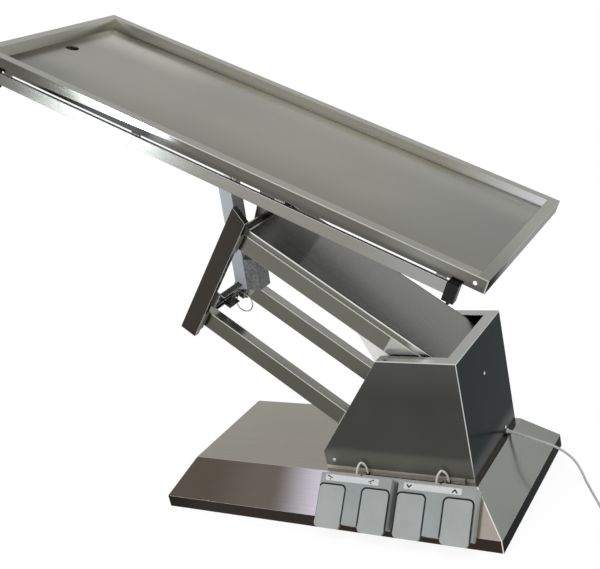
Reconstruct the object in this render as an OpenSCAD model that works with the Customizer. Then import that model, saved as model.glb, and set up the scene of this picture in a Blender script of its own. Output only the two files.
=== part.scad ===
// Electric lifting and tilting operating table for animals. A low steel base with foot switches
// carries two pairs of parallel arms raised by one linear actuator. The head at their end carries
// a shallow tray that a second actuator tilts. Millimetres. The origin is the middle of the base
// on the floor, X points to the low end of the tray, Y to the far side, Z up. The pose drawn is
// the photographed one, with the tray sloping down to the right.

/* [Base] */
// Length of the base cover at the floor
base_l = 1015; // [960:5:1100]
// Width of the base cover at the floor
base_w = 510; // [480:5:560]
// Height of the flat top of the base
base_h = 125; // [115:1:140]
// Height of the upright skirt under the sloping sides
skirt_h = 35; // [25:1:45]
// Run of the slope at each end
slope_run_x = 76; // [60:1:80]
// Run of the slope at each long side
slope_run_y = 81; // [70:1:85]
// Thickness of the cover sheet
sheet_t = 2; // [1.5:0.5:3]
// Thickness of the bottom plate
bottom_t = 4; // [3:1:6]

/* [Column housing] */
// Length of the housing along the base
housing_l = 421; // [415:1:430]
// Distance of the housing's right wall from the right end of the base's flat top
housing_back = 10.5; // [8:0.5:16]
// Distance of the housing's sides from the edges of the base's flat top
housing_in = 14; // [4:1:18]
// Height of the housing's top edge above the floor
housing_top = 452; // [440:1:470]
// Height where the left edge starts to lean
lean_z = 177; // [165:1:190]
// How far the leaning edge runs in to the right at the top
lean_x = 209; // [190:1:220]
// Width of the inward lip round the top
lip_w = 31; // [20:1:32]

/* [Lift arms] */
// Length of each arm between its pivots
arm_len = 620; // [600:5:640]
// Slope of the arms in the pose drawn, degrees above level
arm_slope = 37.5; // [35:0.5:40]
// Height of the arm tube's section
tube_h = 50; // [40:1:54]
// Width of the arm tube's section
tube_w = 30; // [24:1:32]
// Distance of the arms' outer faces from the housing's sides
arm_side_gap = 36; // [35:1:40]
// Wall of the arm and post tubes
tube_wall = 3; // [2:0.5:4]
// Distance of the upper base pivot from the housing's right wall
high_pivot_in = 86; // [81:1:91]
// Upper base pivot, height
high_pivot_z = 402; // [396:1:408]
// Distance of the lower base pivot to the left of the upper one
low_pivot_back = 175; // [170:1:180]
// Lower base pivot, height
low_pivot_z = 183; // [180:1:190]
// Diameter of the two pivot shafts in the housing
base_shaft_d = 25; // [20:1:28]
// Diameter of the two pivot shafts in the head
head_shaft_d = 20; // [16:1:22]
// Radial clearance of every pin and shaft that turns
run_fit = 0.05; // [0.02:0.01:0.08]
// Height of the cover panel above the middle of the upper arms
cover_rise = 42; // [38:1:46]

/* [Head] */
// Depth of the head posts along the table
post_h = 50; // [44:1:54]
// Width of the head posts across the table
post_w = 20; // [16:1:24]
// Length of the post beyond the upper pivot, at its front face
post_over = 88; // [80:1:95]
// Length of the post beyond the lower pivot
post_under = 58; // [50:1:60]
// How much lower the slanted post top is at its back face
post_slant = 20; // [0:1:24]
// Distance of the tilt actuator's pin from the lower pivot, up the posts
tail_up = 68; // [67:0.5:70]
// Distance of the tilt actuator's pin from the lower pivot, square to the posts
tail_out = 59.5; // [58:0.5:61]

/* [Lift actuator] */
// Distance of the lift actuator's lower pin to the left of the upper base pivot
lift_pin_back = 5; // [3:1:7]
// Lower pin of the lift actuator, height
lift_pin_z = 50; // [46:1:54]
// Length between the ends of the lift actuator in the pose drawn
lift_len = 348; // [347:0.5:349]
// Lean of the lift actuator in the pose drawn, degrees above level
lift_lean = 110.6; // [110.2:0.1:111]
// Diameter of the lift actuator's tube
lift_tube_d = 60; // [54:1:62]
// Diameter of the lift actuator's rod
lift_rod_d = 28; // [22:1:30]
// Diameter of the actuator pins
act_pin_d = 16; // [14:1:16]
// Room in each rod eye round its pin
eye_room = 4; // [3.8:0.1:4.2]

/* [Tilt actuator] */
// Length between the ends of the tilt actuator in the pose drawn
tilt_len = 437.7; // [437.5:0.1:437.9]
// Lean of the tilt actuator in the pose drawn, degrees above level
tilt_lean = 86.1; // [86:0.1:86.2]
// Width of the tilt actuator's square profile
tilt_prof_w = 38; // [34:1:42]
// Depth of the tilt actuator's profile across the table
tilt_prof_d = 52; // [46:1:54]
// Diameter of the tilt actuator's rod
tilt_rod_d = 22; // [18:1:24]

/* [Tray] */
// Length of the tray
tray_l = 1442; // [1400:2:1500]
// Width of the tray
tray_w = 550; // [530:2:560]
// Height of the tray's outer skirt
tray_skirt = 34; // [30:1:38]
// Width of the flat rim round the basin
rim_w = 26; // [22:1:28]
// Depth of the basin at the drain
basin_deep = 26; // [24:1:28]
// Depth of the basin at the other end
basin_shallow = 20; // [16:1:22]
// Inward lean of the basin's walls
wall_lean = 8; // [6:1:10]
// Slope of the tray in the pose drawn, degrees
tray_slope = 27.3; // [26.8:0.1:27.8]
// Depth of the tilt pivot under the tray's top
hinge_drop = 274; // [272:1:276]
// Distance of the tilt pivot to the right of the tray's middle
hinge_shift = 32; // [30:1:34]
// Diameter of the drain hole
drain_d = 36; // [30:1:40]
// Distance of the drain from the tray's middle
drain_s = 643; // [630:1:650]
// Depth of the frame under the tray's top
frame_drop = 66; // [62:1:70]

/* [Side rails] */
// Length of each side rail
rail_l = 1280; // [1240:10:1300]
// Height of the side rail
rail_h = 30; // [25:1:32]
// Thickness of the side rail
rail_t = 10; // [8:1:12]
// Depth of the rail's upper edge under the tray's top
rail_drop = 38; // [36:1:42]

/* [Foot switches] */
// Length of one foot switch unit
unit_l = 212; // [208:1:214]
// How far the second unit reaches beyond the housing's right wall
unit_over = 22; // [19:1:25]
// Distance between the left ends of the two units
unit_pitch = 226; // [222:1:230]
// Height of a pad's upper face above the slope
pad_top = 30; // [28:1:32]
// Width of one pad
pad_w = 76; // [74:1:77]
// Length of one pad down the slope
pad_l = 112; // [104:1:116]
// Diameter of the foot switch cables
lead_d = 5; // [4:0.5:6]

/* [Mains lead] */
// Diameter of the mains lead
cord_d = 6.5; // [6:0.1:7]
// Turns of the stored lead in one layer of its coil
coil_turns = 2.5; // [1.5:1:3.5]

/* [Hidden] */
$fn = 40;

// Small common sizes
plate_6 = 6;
plate_3 = 3;
eye_fit = 0.1;
steel = "silver";
dark_steel = "dimgray";
plastic_dark = [0.25, 0.26, 0.27];
plastic_light = [0.7, 0.72, 0.7];

// Base
slope_drop = base_h - skirt_h;
slope_angle = atan2(slope_drop, slope_run_y);
slope_top_y = -base_w / 2 + slope_run_y;
grommet_d = lead_d + 4;
lead_fit = 0.5;
actuator_hole_w = 96;
rib_flange = 20;

// Drive electronics
control_x = [-330, -110];
control_half = 90;
control_h = 70;

// Housing
housing_right = base_l / 2 - slope_run_x - housing_back;
housing_left = housing_right - housing_l;
housing_y = base_w / 2 - slope_run_y - housing_in;
gland_d = 11;
screw_d = 12;
screw_in = 28;
screw_head = 3;
wall_screws = [[-3, 350], [82, 148], [-86, 148]];
actuator_hole_x = [housing_right - 169, housing_right - 11];
rib_x = [housing_right - 361, housing_right - 7];
rib_y = housing_y - 28;

// Arms and their pivots
high_pivot = [housing_right - high_pivot_in, high_pivot_z];
low_pivot = [high_pivot[0] - low_pivot_back, low_pivot_z];
arm_dir = [-cos(arm_slope), sin(arm_slope)];
head_high = high_pivot + arm_len * arm_dir;
head_low = low_pivot + arm_len * arm_dir;
arm_out = housing_y - arm_side_gap;
arm_in = arm_out - tube_w;
arm_end = 20;
bush_wall = 6;
bush_side = 2.5;
bush_gap = 0.5;
plate_gap = 5;
plate_in = arm_out + plate_gap;
plate_out = plate_in + plate_6;
post_in = arm_out + 3;
post_out = post_in + post_w;
link = high_pivot - low_pivot;
link_len = norm(link);
link_slope = atan2(link[1], link[0]);
cover_ends = [-586, 45];
cover_half = arm_out - 3;
cover_notch = [30, cover_half - 23];
cover_notch_end = -562;
gusset_in = arm_in - plate_6;
gusset_tip = -256;
gusset_back = -10;
lever_pin_at = [-87, -100.7];

// Head
web_w = [33, 36];
web_u = [49, 100];
flange_w = 64;
clear_w = 45;
notch_half = 34;
lug_gap = 14;
lug_t = 5;
pad_t = 4;
pad_half = 31;
ring_r = 26;
ring_wire = 3;
ring_hole = 6;
ring_turn = link_slope - 90;

// Actuators
eye_half = 12;
tail_eye_r = 14;
tilt_prof_top = 320;
lift_eye_d = 36;
lift_gear = [30, 88, 28, 62];
lift_motor_x = 60;
lift_motor_d = 52;
lift_motor_l = 125;
lift_tube_top = 245;
lift_piston_z = [104, 114];
tilt_motor_w = 42;
tilt_motor_half = 28;
tilt_motor_z = [15, 104];
tilt_bore_z = [34, 284];
tilt_piston_z = [140, 152];
rod_collar = 12;
rod_eye_r = act_pin_d / 2 + eye_room + 5;
lift_pin_x = high_pivot[0] - lift_pin_back;
lift_pin = [lift_pin_x, lift_pin_z];
tail_pin_at = [tail_out, tail_up];
tilt_tail = head_low + tail_out * [sin(link_slope), -cos(link_slope)]
  + tail_up * [cos(link_slope), sin(link_slope)];

// Tray
tray_ex = [cos(tray_slope), -sin(tray_slope)];
tray_ez = [sin(tray_slope), cos(tray_slope)];
tray_mid = head_high - hinge_shift * tray_ex + hinge_drop * tray_ez;
tray_sheet = 2;
hole_s = tray_l / 2 - 27;
hole_d = 10;
spout_l = 30;
rod_pin_s = -124;
rod_pin_drop = 95;
beam_y = [140, 180];
beam_half_l = 600;
cross_s = [-500, -124, 250, 520];
cheek_half = 30;
cheek_y = [36, arm_in - 9];
cheek_t = 8;
cheek_low = 30;
hub_wall = 8;
tab_s = [-620, -207, 207, 620];
tab_w = 25;
stop_l = 28;
stop_low = 81;
stop_depth = [-5, 17];
knob_d = 8;
knob_h = 9;

// Foot switches
unit_start = [housing_right + unit_over - unit_pitch - unit_l, housing_right + unit_over - unit_l];
strip_d = [8, 36];
label_x = [18, 173];
label_d = [12, 28];
pad_first = 38;
pad_side = [3.5, 6];
pad_gap = 2;
box_end = 136;
box_floor = 9;
box_bevel = [3, 8];
pin_d_at = 44;
pin_h_at = 14;
knuckle = 8;
pad_t_plate = 8;
pin_d = 5;
pad_round = 12;
lead_start_x = [unit_start[0] + 98, unit_start[1] + 97];
lead_hole_x = [lead_start_x[0] + 23, lead_start_x[1] + 25];
lead_hole_y = slope_top_y + 6;
strip_w = 10;

// Mains lead: where it leaves the housing and the points it follows to the floor
cord_exit = [housing_right, 89, base_h + 8];
relief_len = 26;
relief_dip = 12;
cord_start = cord_exit + relief_len * [cos(relief_dip), 0, -sin(relief_dip)];
cord_points = [[49, 88.5, 121], [67, 88.5, 116], [84, 88, 111], [101, 88, 106], [117, 88, 100.5],
  [131, 87.5, 94.5], [145, 87.5, 86.5], [158, 87, 77], [170, 86.5, 65], [180, 85.5, 50],
  [188, 83.5, 34], [195, 79, 19], [202, 71.5, 9], [210, 61, 4.6], [221, 42, 3.5], [238, 13, 3.4],
  [256, -18, 3.4], [275, -52, 3.4]];
cord_route = [for (p = cord_points) p + [housing_right, 0, 0]];
coil_mid = [housing_right + 335, -60];
coil_first = 48;
coil_angle = 209;
coil_step = cord_d + 0.7;
coil_layers = 4;
coil_tail = 0.4;
coil_rings = 24;
plug_len = 52;
plug_d = 40;

// A flat outline in X and Z made into a plate between two y values
module slab(y0, y1) {
  translate([0, y1, 0]) rotate([90, 0, 0]) linear_extrude(height = y1 - y0) children();
}

// The same piece on both sides of the middle plane
module both_sides() {
  children();
  mirror([0, 1, 0]) children();
}

// Round bar across the table
module bar_y(at, d, y0, y1) {
  translate([at[0], y1, at[1]]) rotate([90, 0, 0]) cylinder(d = d, h = y1 - y0);
}

// Ring across the table
module tube_y(at, d, bore, y0, y1) {
  difference() {
    bar_y(at, d, y0, y1);
    bar_y(at, bore, y0 - 1, y1 + 1);
  }
}

// Box given by its lowest and highest corner
module box(low, high) {
  translate(low) cube(high - low);
}

// Frames of the moving parts. In an arm's frame X runs from the head to the pivot.
module at_arm(pivot) {
  translate([pivot[0], 0, pivot[1]]) rotate([0, arm_slope, 0]) children();
}

// In the head's frame Z runs up the posts from the lower pivot
module at_head() {
  translate([head_low[0], 0, head_low[1]]) rotate([0, 90 - link_slope, 0]) children();
}

// In the tray's frame Z is square to the tray and its top lies at zero
module at_tray() {
  translate([tray_mid[0], 0, tray_mid[1]]) rotate([0, tray_slope, 0]) children();
}

// In an actuator's frame Z runs from the tail pin to the rod eye
module at_actuator(pin, lean) {
  translate([pin[0], 0, pin[1]]) rotate([0, 90 - lean, 0]) children();
}

// On the front slope X runs along the base, Y up the slope and Z out of it
module on_slope() {
  translate([0, slope_top_y, base_h]) rotate([slope_angle, 0, 0]) children();
}

// Points of a smooth curve through hand-chosen points
function curve_point(p, i, t) = let (a = p[max(i - 1, 0)], b = p[i], c = p[i + 1],
  d = p[min(i + 2, len(p) - 1)]) b + 0.5 * t * (c - a + t * (2 * a - 5 * b + 4 * c - d
  + t * (3 * b - a - 3 * c + d)));
function smooth_path(p, parts) = concat([for (i = [0:len(p) - 2]) for (k = [0:parts - 1])
  curve_point(p, i, k / parts)], [p[len(p) - 1]]);
function unit_of(v) = v / norm(v);
function heading(p, i) = unit_of(p[min(i + 1, len(p) - 1)] - p[max(i - 1, 0)]);
function side_of(h) = unit_of(cross(h, abs(h[2]) > 0.95 ? [0, 1, 0] : [0, 0, 1]));
function ring(at, h, r, n) = let (s = side_of(h), u = cross(s, h))
  [for (k = [0:n - 1]) at + r * (cos((k + 0.5) * 360 / n) * s + sin((k + 0.5) * 360 / n) * u)];
function ring_quads(rings, n) = [for (i = [0:rings - 2]) for (k = [0:n - 1]) each
  let (a = i * n + k, b = i * n + (k + 1) % n) [[a, b, b + n], [a, b + n, a + n]]];

// Round tube swept along a path
module swept_tube(path, d, n) {
  count = len(path);
  points = [for (i = [0:count - 1]) each ring(path[i], heading(path, i), d / 2, n)];
  first = [for (k = [n - 1:-1:0]) k];
  last = [for (k = [0:n - 1]) (count - 1) * n + k];
  polyhedron(points = points, faces = concat([first], ring_quads(count, n), [last]));
}

// Block with a sloping skirt all round, drawn a step inside the outer skin
module base_form(inset) {
  half_l = base_l / 2 - inset;
  half_w = base_w / 2 - inset;
  low = inset > 0 ? -1 : 0;
  intersection() {
    slab(-base_w, base_w) polygon([[-half_l, low], [half_l, low], [half_l, skirt_h - inset],
      [half_l - slope_run_x, base_h - inset], [-half_l + slope_run_x, base_h - inset],
      [-half_l, skirt_h - inset]]);
    rotate([0, 0, 90]) slab(-base_l, base_l) polygon([[-half_w, low], [half_w, low],
      [half_w, skirt_h - inset], [half_w - slope_run_y, base_h - inset],
      [-half_w + slope_run_y, base_h - inset], [-half_w, skirt_h - inset]]);
  }
}

module base_cover() {
  color(steel) difference() {
    base_form(0);
    base_form(sheet_t);
    box([actuator_hole_x[0], -actuator_hole_w / 2, base_h - 5],
      [actuator_hole_x[1], actuator_hole_w / 2, base_h + 1]);
    for (x = lead_hole_x) translate([x, lead_hole_y, base_h - 5]) cylinder(d = grommet_d, h = 10);
  }
}

module base_plate() {
  color(dark_steel) box([-base_l / 2 + sheet_t, -base_w / 2 + sheet_t, 0],
    [base_l / 2 - sheet_t, base_w / 2 - sheet_t, bottom_t]);
}

// Two long ribs and two cross ribs that carry the column on the bottom plate
module base_ribs() {
  top = base_h - sheet_t;
  color(dark_steel) both_sides() {
    box([rib_x[0], rib_y, bottom_t], [rib_x[1], rib_y + plate_6, top]);
    box([rib_x[0], rib_y - rib_flange, top - plate_3], [rib_x[1], rib_y, top]);
  }
  color(dark_steel) for (x = rib_x)
    box([x, -rib_y - plate_6, bottom_t], [x + plate_6, rib_y + plate_6, top]);
}

housing_outline = [[housing_left, base_h], [housing_right, base_h], [housing_right, housing_top],
  [housing_left + lean_x, housing_top], [housing_left, lean_z]];

// Open sheet box: front, back and right walls with a lip round the top
module housing_shell() {
  in_y = housing_y - sheet_t;
  color(steel) difference() {
    slab(-housing_y, housing_y) polygon(housing_outline);
    box([housing_left - 1, -in_y, base_h - 1], [housing_right - sheet_t, in_y, housing_top - sheet_t]);
    box([housing_left - 1, -housing_y + lip_w, base_h],
      [housing_right - lip_w, housing_y - lip_w, housing_top + 1]);
    translate([housing_right - 5, cord_exit[1], cord_exit[2]]) rotate([0, 90, 0])
      cylinder(d = gland_d, h = 10);
  }
}

// Plate that holds both base shafts, with a foot on the base and a flange towards the housing
module pivot_plate() {
  foot_x = [low_pivot[0] - 60, high_pivot[0] + 65];
  hub_d = base_shaft_d + 24;
  color(dark_steel) difference() {
    union() {
      slab(-plate_out, -plate_in) polygon([[foot_x[0], base_h], [foot_x[1], base_h],
        high_pivot + [57, -102], high_pivot + [37, 28], high_pivot + [-35, 28], low_pivot + [-40, 52]]);
      box([foot_x[0], -housing_y + sheet_t, base_h], [foot_x[1], -plate_in, base_h + plate_6]);
      bar_y(high_pivot, hub_d, -plate_out - plate_3, -plate_in);
      bar_y(low_pivot, hub_d, -plate_out - plate_3, -plate_in);
    }
    bar_y(high_pivot, base_shaft_d, -housing_y, -arm_out);
    bar_y(low_pivot, base_shaft_d, -housing_y, -arm_out);
  }
}

module base_shafts() {
  color(steel) for (at = [high_pivot, low_pivot]) {
    bar_y(at, base_shaft_d, -plate_out - plate_3, plate_out + plate_3);
    both_sides() bar_y(at, base_shaft_d + 10, plate_out + plate_3, plate_out + plate_6);
  }
}

module lift_bracket() {
  color(dark_steel) difference() {
    union() {
      box([lift_pin_x - 45, -45, bottom_t], [lift_pin_x + 45, 45, bottom_t + plate_6]);
      both_sides() slab(eye_half + 2, eye_half + 10) union() {
        translate(lift_pin) circle(d = act_pin_d + 20);
        polygon([[lift_pin_x - 30, bottom_t + plate_3], [lift_pin_x + 30, bottom_t + plate_3],
          [lift_pin_x + 18, lift_pin_z], [lift_pin_x - 18, lift_pin_z]]);
      }
    }
    bar_y(lift_pin, act_pin_d, -40, 40);
  }
}

module lift_bracket_pin() {
  color(steel) {
    bar_y(lift_pin, act_pin_d, -eye_half - 14, eye_half + 10);
    bar_y(lift_pin, act_pin_d + 8, -eye_half - 14, -eye_half - 10);
  }
}

// Closed box for the drive electronics inside the base
module control_box() {
  low = [control_x[0], -control_half, bottom_t];
  high = [control_x[1], control_half, bottom_t + control_h];
  color(plastic_dark) difference() {
    box(low, high);
    box(low + plate_3 * [1, 1, 1], high - plate_3 * [1, 1, 1]);
  }
}

// Circuit board with its transformer and relays
module control_board() {
  floor_z = bottom_t + plate_3;
  board_in = 10;
  board_t = 2;
  transformer = 60;
  relay_step = 25;
  relay_h = 15;
  color("darkgreen") {
    box([control_x[0] + board_in, board_in - control_half, floor_z],
      [control_x[1] - board_in, control_half - board_in, floor_z + board_t]);
    box([control_x[0] + 2 * board_in, -transformer / 2, floor_z + 1],
      [control_x[0] + 2 * board_in + transformer, transformer / 2, bottom_t + 50]);
    for (n = [-2:2]) box([control_x[1] - 90, (n - 0.3) * relay_step, floor_z + 1],
      [control_x[1] - 70, (n + 0.3) * relay_step, floor_z + relay_h]);
  }
}

// Round-headed screws that hold the housing
module housing_screws() {
  color(steel) {
    both_sides() for (x = [housing_left + screw_in, housing_right - screw_in])
      bar_y([x, base_h + screw_in], screw_d, housing_y, housing_y + screw_head);
    for (q = wall_screws) translate([housing_right, q[0], q[1]]) rotate([0, 90, 0])
      cylinder(d = screw_d, h = screw_head);
  }
}

// Strip that hooks the foot switches to the edge of the base
module switch_strip() {
  y0 = slope_top_y + 1;
  hook_x = lead_hole_x[1] + 49;
  color(steel) {
    for (x = [[lead_hole_x[0] + 14, lead_hole_x[1] - 15], [lead_hole_x[1] + 14, hook_x]])
      box([x[0], y0, base_h], [x[1], y0 + strip_w - 1, base_h + plate_3]);
    box([hook_x - plate_3, y0, base_h], [hook_x, y0 + strip_w - 1, base_h + 16]);
  }
}

// Flat outline with four round corners
module round_rect(low, high, r) {
  for (x = [low[0] + r, high[0] - r]) for (y = [low[1] + r, high[1] - r]) translate([x, y]) circle(r = r);
  translate([low[0] + r, low[1]]) square([high[0] - low[0] - 2 * r, high[1] - low[1]]);
  translate([low[0], low[1] + r]) square([high[0] - low[0], high[1] - low[1] - 2 * r]);
}

function pad_x(side) = side == 0 ? pad_side[0] : unit_l - pad_w - pad_side[1];

// Housing of one foot switch unit with a well for each pad, in the slope's frame
module switch_unit(x0) {
  color(plastic_light) on_slope() translate([x0, 0, 0]) difference() {
    union() {
      difference() {
        intersection() {
          linear_extrude(height = pad_top) round_rect([0, -box_end], [unit_l, -strip_d[0]], 6);
          translate([0, -strip_d[0], 0]) rotate([90, 0, 0]) linear_extrude(height = box_end)
            polygon([[0, 0], [unit_l, 0], [unit_l, pad_top - box_bevel[1]],
            [unit_l - box_bevel[0], pad_top], [box_bevel[0], pad_top], [0, pad_top - box_bevel[1]]]);
        }
        for (side = [0, 1]) translate([pad_x(side), 0, box_floor]) linear_extrude(height = pad_top)
          round_rect([-pad_gap, -box_end - 2 * pad_round], [pad_w + pad_gap, -strip_d[1]], pad_round);
      }
      for (side = [0, 1]) for (x = [pad_x(side) + 2, pad_x(side) + pad_w - knuckle - 2]) {
        box([x, -pin_d_at, box_floor - 1], [x + knuckle, -strip_d[1] + 1, pin_h_at]);
        translate([x, -pin_d_at, pin_h_at]) rotate([0, 90, 0]) cylinder(d = pin_d + 6, h = knuckle);
      }
    }
    for (side = [0, 1]) translate([pad_x(side) + 1, -pin_d_at, pin_h_at]) rotate([0, 90, 0])
      cylinder(d = pin_d, h = pad_w - 2);
  }
}

module switch_pins() {
  color(steel) on_slope() for (x0 = unit_start) for (side = [0, 1])
    translate([x0 + pad_x(side) + 1, -pin_d_at, pin_h_at]) rotate([0, 90, 0])
      cylinder(d = pin_d, h = pad_w - 2);
}

module switch_labels() {
  color("white") on_slope() for (x0 = unit_start) translate([x0, 0, pad_top])
    linear_extrude(height = 0.4) round_rect([label_x[0], -label_d[1]], [label_x[1], -label_d[0]], plate_3);
}

// Rounded pad on its two knuckles, in the slope's frame
module switch_pad(unit, side) {
  low = pad_top - pad_t_plate;
  barrel_in = 2 * knuckle - 2;
  color([0.62, 0.65, 0.64]) on_slope() translate([unit_start[unit] + pad_x(side), 0, 0]) difference() {
    union() {
      translate([0, 0, low]) linear_extrude(height = pad_t_plate)
        round_rect([0, -pad_first - pad_l], [pad_w, -pad_first], pad_round);
      translate([barrel_in, -pin_d_at, pin_h_at]) rotate([0, 90, 0])
        cylinder(d = pin_d + 4, h = pad_w - 2 * barrel_in);
      box([barrel_in, -pin_d_at - 5, pin_h_at], [pad_w - barrel_in, -pin_d_at + 5, low + 1]);
    }
    translate([-1, -pin_d_at, pin_h_at]) rotate([0, 90, 0])
      cylinder(d = pin_d + 2 * run_fit, h = pad_w + 2);
  }
}

// Cables that loop from the switch units into the base
module switch_leads() {
  color("gray") for (n = [0, 1]) {
    x0 = lead_start_x[n];
    hole = lead_hole_x[n];
    back = [x0, slope_top_y - 16.5, base_h + 2];
    swept_tube(smooth_path([back, back + [0, 6, 7], back + [2, 11, 19],
      [(x0 + hole) / 2, slope_top_y + 1, base_h + 36], [hole - 2, lead_hole_y, base_h + 24],
      [hole, lead_hole_y, base_h + 8], [hole, lead_hole_y, base_h - 12]], 3), lead_d, 8);
  }
}

module lead_grommets() {
  color("black") for (x = lead_hole_x) translate([x, lead_hole_y, base_h - sheet_t]) difference() {
    union() {
      cylinder(d = grommet_d, h = sheet_t + 2);
      translate([0, 0, sheet_t]) cylinder(d = grommet_d + 3, h = 2);
    }
    translate([0, 0, -1]) cylinder(d = lead_d + lead_fit, h = 10);
  }
}

// Gland in the housing wall with its tapered strain relief
module cord_gland() {
  dir_turn = [0, 90 + relief_dip, 0];
  color(plastic_dark) union() {
    translate(cord_exit - [sheet_t + 4, 0, 0]) rotate([0, 90, 0]) cylinder(d = gland_d, h = sheet_t + 5);
    translate(cord_exit - [sheet_t + 4, 0, 0]) rotate([0, 90, 0]) cylinder(d = gland_d + 3, h = 4);
    translate(cord_exit) rotate([0, 90, 0]) cylinder(d = gland_d + 3, h = 3);
    translate(cord_exit) rotate(dir_turn) translate([0, 0, 1.5])
      cylinder(d1 = gland_d - 1, d2 = cord_d + 1, h = relief_len - 1.5);
  }
}

module power_cord() {
  start_dir = [cos(relief_dip), 0, -sin(relief_dip)];
  end_point = coil_start - cord_d * coil_dir;
  control = concat([cord_start, cord_start + cord_d * start_dir], cord_route,
    [end_point - cord_d * coil_dir, end_point]);
  color([0.8, 0.8, 0.78]) swept_tube(smooth_path(control, 2), cord_d, 8);
}

// Coil of the stored lead: it spirals in and out, layer on layer
function coil_turn_r(t) = let (m = t / coil_turns, f = m - 2 * floor(m / 2))
  coil_first - coil_step * coil_turns * (f < 1 ? f : 2 - f);
function coil_steps(t) = let (k = round(t / coil_turns)) (k < 1 || k > coil_layers - 1) ?
  floor(t / coil_turns) : k - 0.5 + max(-0.5, min(0.5, (t - k * coil_turns) * 2));
coil_total = coil_turns * coil_layers;
coil_top = 3.3 + (coil_layers - 1) * coil_step;
function coil_at(t) = let (over = max(0, t - coil_total), r = coil_turn_r(min(t, coil_total)) + 36 * over,
  a = coil_angle + 360 * t, z = t < coil_total ? 3.3 + coil_step * min(coil_layers - 1, coil_steps(t))
  : coil_top - (coil_top - plug_d / 2) * min(1, over / coil_tail * 1.3))
  [coil_mid[0] + r * cos(a), coil_mid[1] + r * sin(a), z];
coil_start = coil_at(0);
coil_dir = unit_of(coil_at(0.01) - coil_at(0));
coil_count = floor((coil_total + coil_tail) * coil_rings);
coil_curve = [for (i = [0:coil_count]) coil_at(i / coil_rings)];
coil_end_dir = let (e = coil_curve[coil_count] - coil_curve[coil_count - 1]) unit_of([e[0], e[1], 0]);
coil_path = concat([coil_start - cord_d * coil_dir], coil_curve,
  [coil_curve[coil_count] + cord_d * coil_end_dir]);
coil_gap = min([for (i = [0:6:coil_count]) for (j = [i + coil_rings / 2 : coil_count])
  norm(coil_curve[i] - coil_curve[j])]) - cord_d;

module cord_coil() {
  echo(coil_least_gap = coil_gap);
  color([0.8, 0.8, 0.78]) swept_tube(coil_path, cord_d, 6);
}

module power_plug() {
  at = coil_path[len(coil_path) - 1];
  turn = atan2(coil_end_dir[1], coil_end_dir[0]);
  color(plastic_dark) translate(at) rotate([0, 0, turn]) rotate([0, 90, 0]) {
    cylinder(d1 = cord_d + 2, d2 = cord_d + 10, h = 22);
    translate([0, 0, 20]) cylinder(d = plug_d, h = plug_len - 16);
    for (y = [-9.5, 9.5]) translate([0, y, plug_len]) cylinder(d = 4.8, h = 23);
  }
}

// Arm tube with its two bush holes; the near arm, in the arm's frame
module arm_tube(pivot) {
  half = tube_h / 2;
  color(steel) at_arm(pivot) difference() {
    box([-arm_len - arm_end, -arm_out, -half], [arm_end, -arm_in, half]);
    box([-arm_len - arm_end + tube_wall, -arm_out + tube_wall, -half + tube_wall],
      [arm_end + 1, -arm_in - tube_wall, half - tube_wall]);
    bar_y([0, 0], base_shaft_d + 2 * bush_wall, -arm_out - 1, -arm_in + 1);
    bar_y([-arm_len, 0], head_shaft_d + 2 * bush_wall, -arm_out - 1, -arm_in + 1);
  }
}

// Torsion tube round the base shaft of a pair of arms, and the two bushes at their head end
module arm_bushes(pivot) {
  color(dark_steel) at_arm(pivot) {
    tube_y([0, 0], base_shaft_d + 2 * bush_wall, base_shaft_d + 2 * run_fit,
      -arm_out - bush_side, arm_out + bush_side);
    both_sides() tube_y([-arm_len, 0], head_shaft_d + 2 * bush_wall, head_shaft_d + 2 * run_fit,
      arm_in - bush_gap, arm_out + bush_side);
  }
}

// Sheet panel over the upper arms, with bent-down sides
module arm_cover() {
  half = tube_h / 2;
  color(steel) at_arm(high_pivot) difference() {
    box([cover_ends[0], -cover_half, half], [cover_ends[1], cover_half, cover_rise]);
    box([cover_ends[0] + sheet_t, -cover_half + sheet_t, half - 1],
      [cover_ends[1] + 1, cover_half - sheet_t, cover_rise - sheet_t]);
    box([cover_ends[0] - 1, cover_notch[0], half - 1], [cover_notch_end, cover_notch[1], cover_rise + 1]);
  }
}

// Lever plates welded inside the upper arms
module arm_gussets() {
  half = tube_h / 2;
  color(steel) at_arm(high_pivot) both_sides() difference() {
    slab(gusset_in, arm_in) union() {
      polygon([[gusset_tip, -half], [lever_pin_at[0] - 17, lever_pin_at[1] - 9],
        [lever_pin_at[0] + 17, lever_pin_at[1] - 9], [gusset_back, -half]]);
      polygon([[gusset_tip, -half], [gusset_back, -half], [gusset_back, half - 15],
        [gusset_tip, half - 15]]);
      translate(lever_pin_at) circle(r = 20);
    }
    bar_y(lever_pin_at, act_pin_d, 0, arm_out);
    bar_y([0, 0], base_shaft_d + 2 * bush_wall, 0, arm_out);
  }
}

module lever_pin() {
  color(steel) at_arm(high_pivot) {
    bar_y(lever_pin_at, act_pin_d, -arm_in, arm_in);
    both_sides() bar_y(lever_pin_at, act_pin_d + 8, arm_in, arm_in + plate_3);
  }
}

// Head post on the near side, in the head's frame
module post() {
  half = post_h / 2;
  top = link_len + post_over;
  color(dark_steel) at_head() difference() {
    slab(-post_out, -post_in) polygon([[-half, -post_under], [half, -post_under],
      [half, top - post_slant], [-half, top]]);
    slab(-post_out + tube_wall, -post_in - tube_wall) polygon([[-half + tube_wall, -post_under - 1],
      [half - tube_wall, -post_under - 1], [half - tube_wall, top - post_slant - tube_wall - 1],
      [-half + tube_wall, top - tube_wall - 2]]);
    for (u = [0, link_len]) bar_y([0, u], head_shaft_d, -post_out + tube_wall, -post_in + 1);
  }
}

module post_pads() {
  color("white") at_head() both_sides() for (u = [0, link_len])
    box([post_h / 2, post_in, u - pad_half], [post_h / 2 + pad_t, post_out, u + pad_half]);
}

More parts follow.
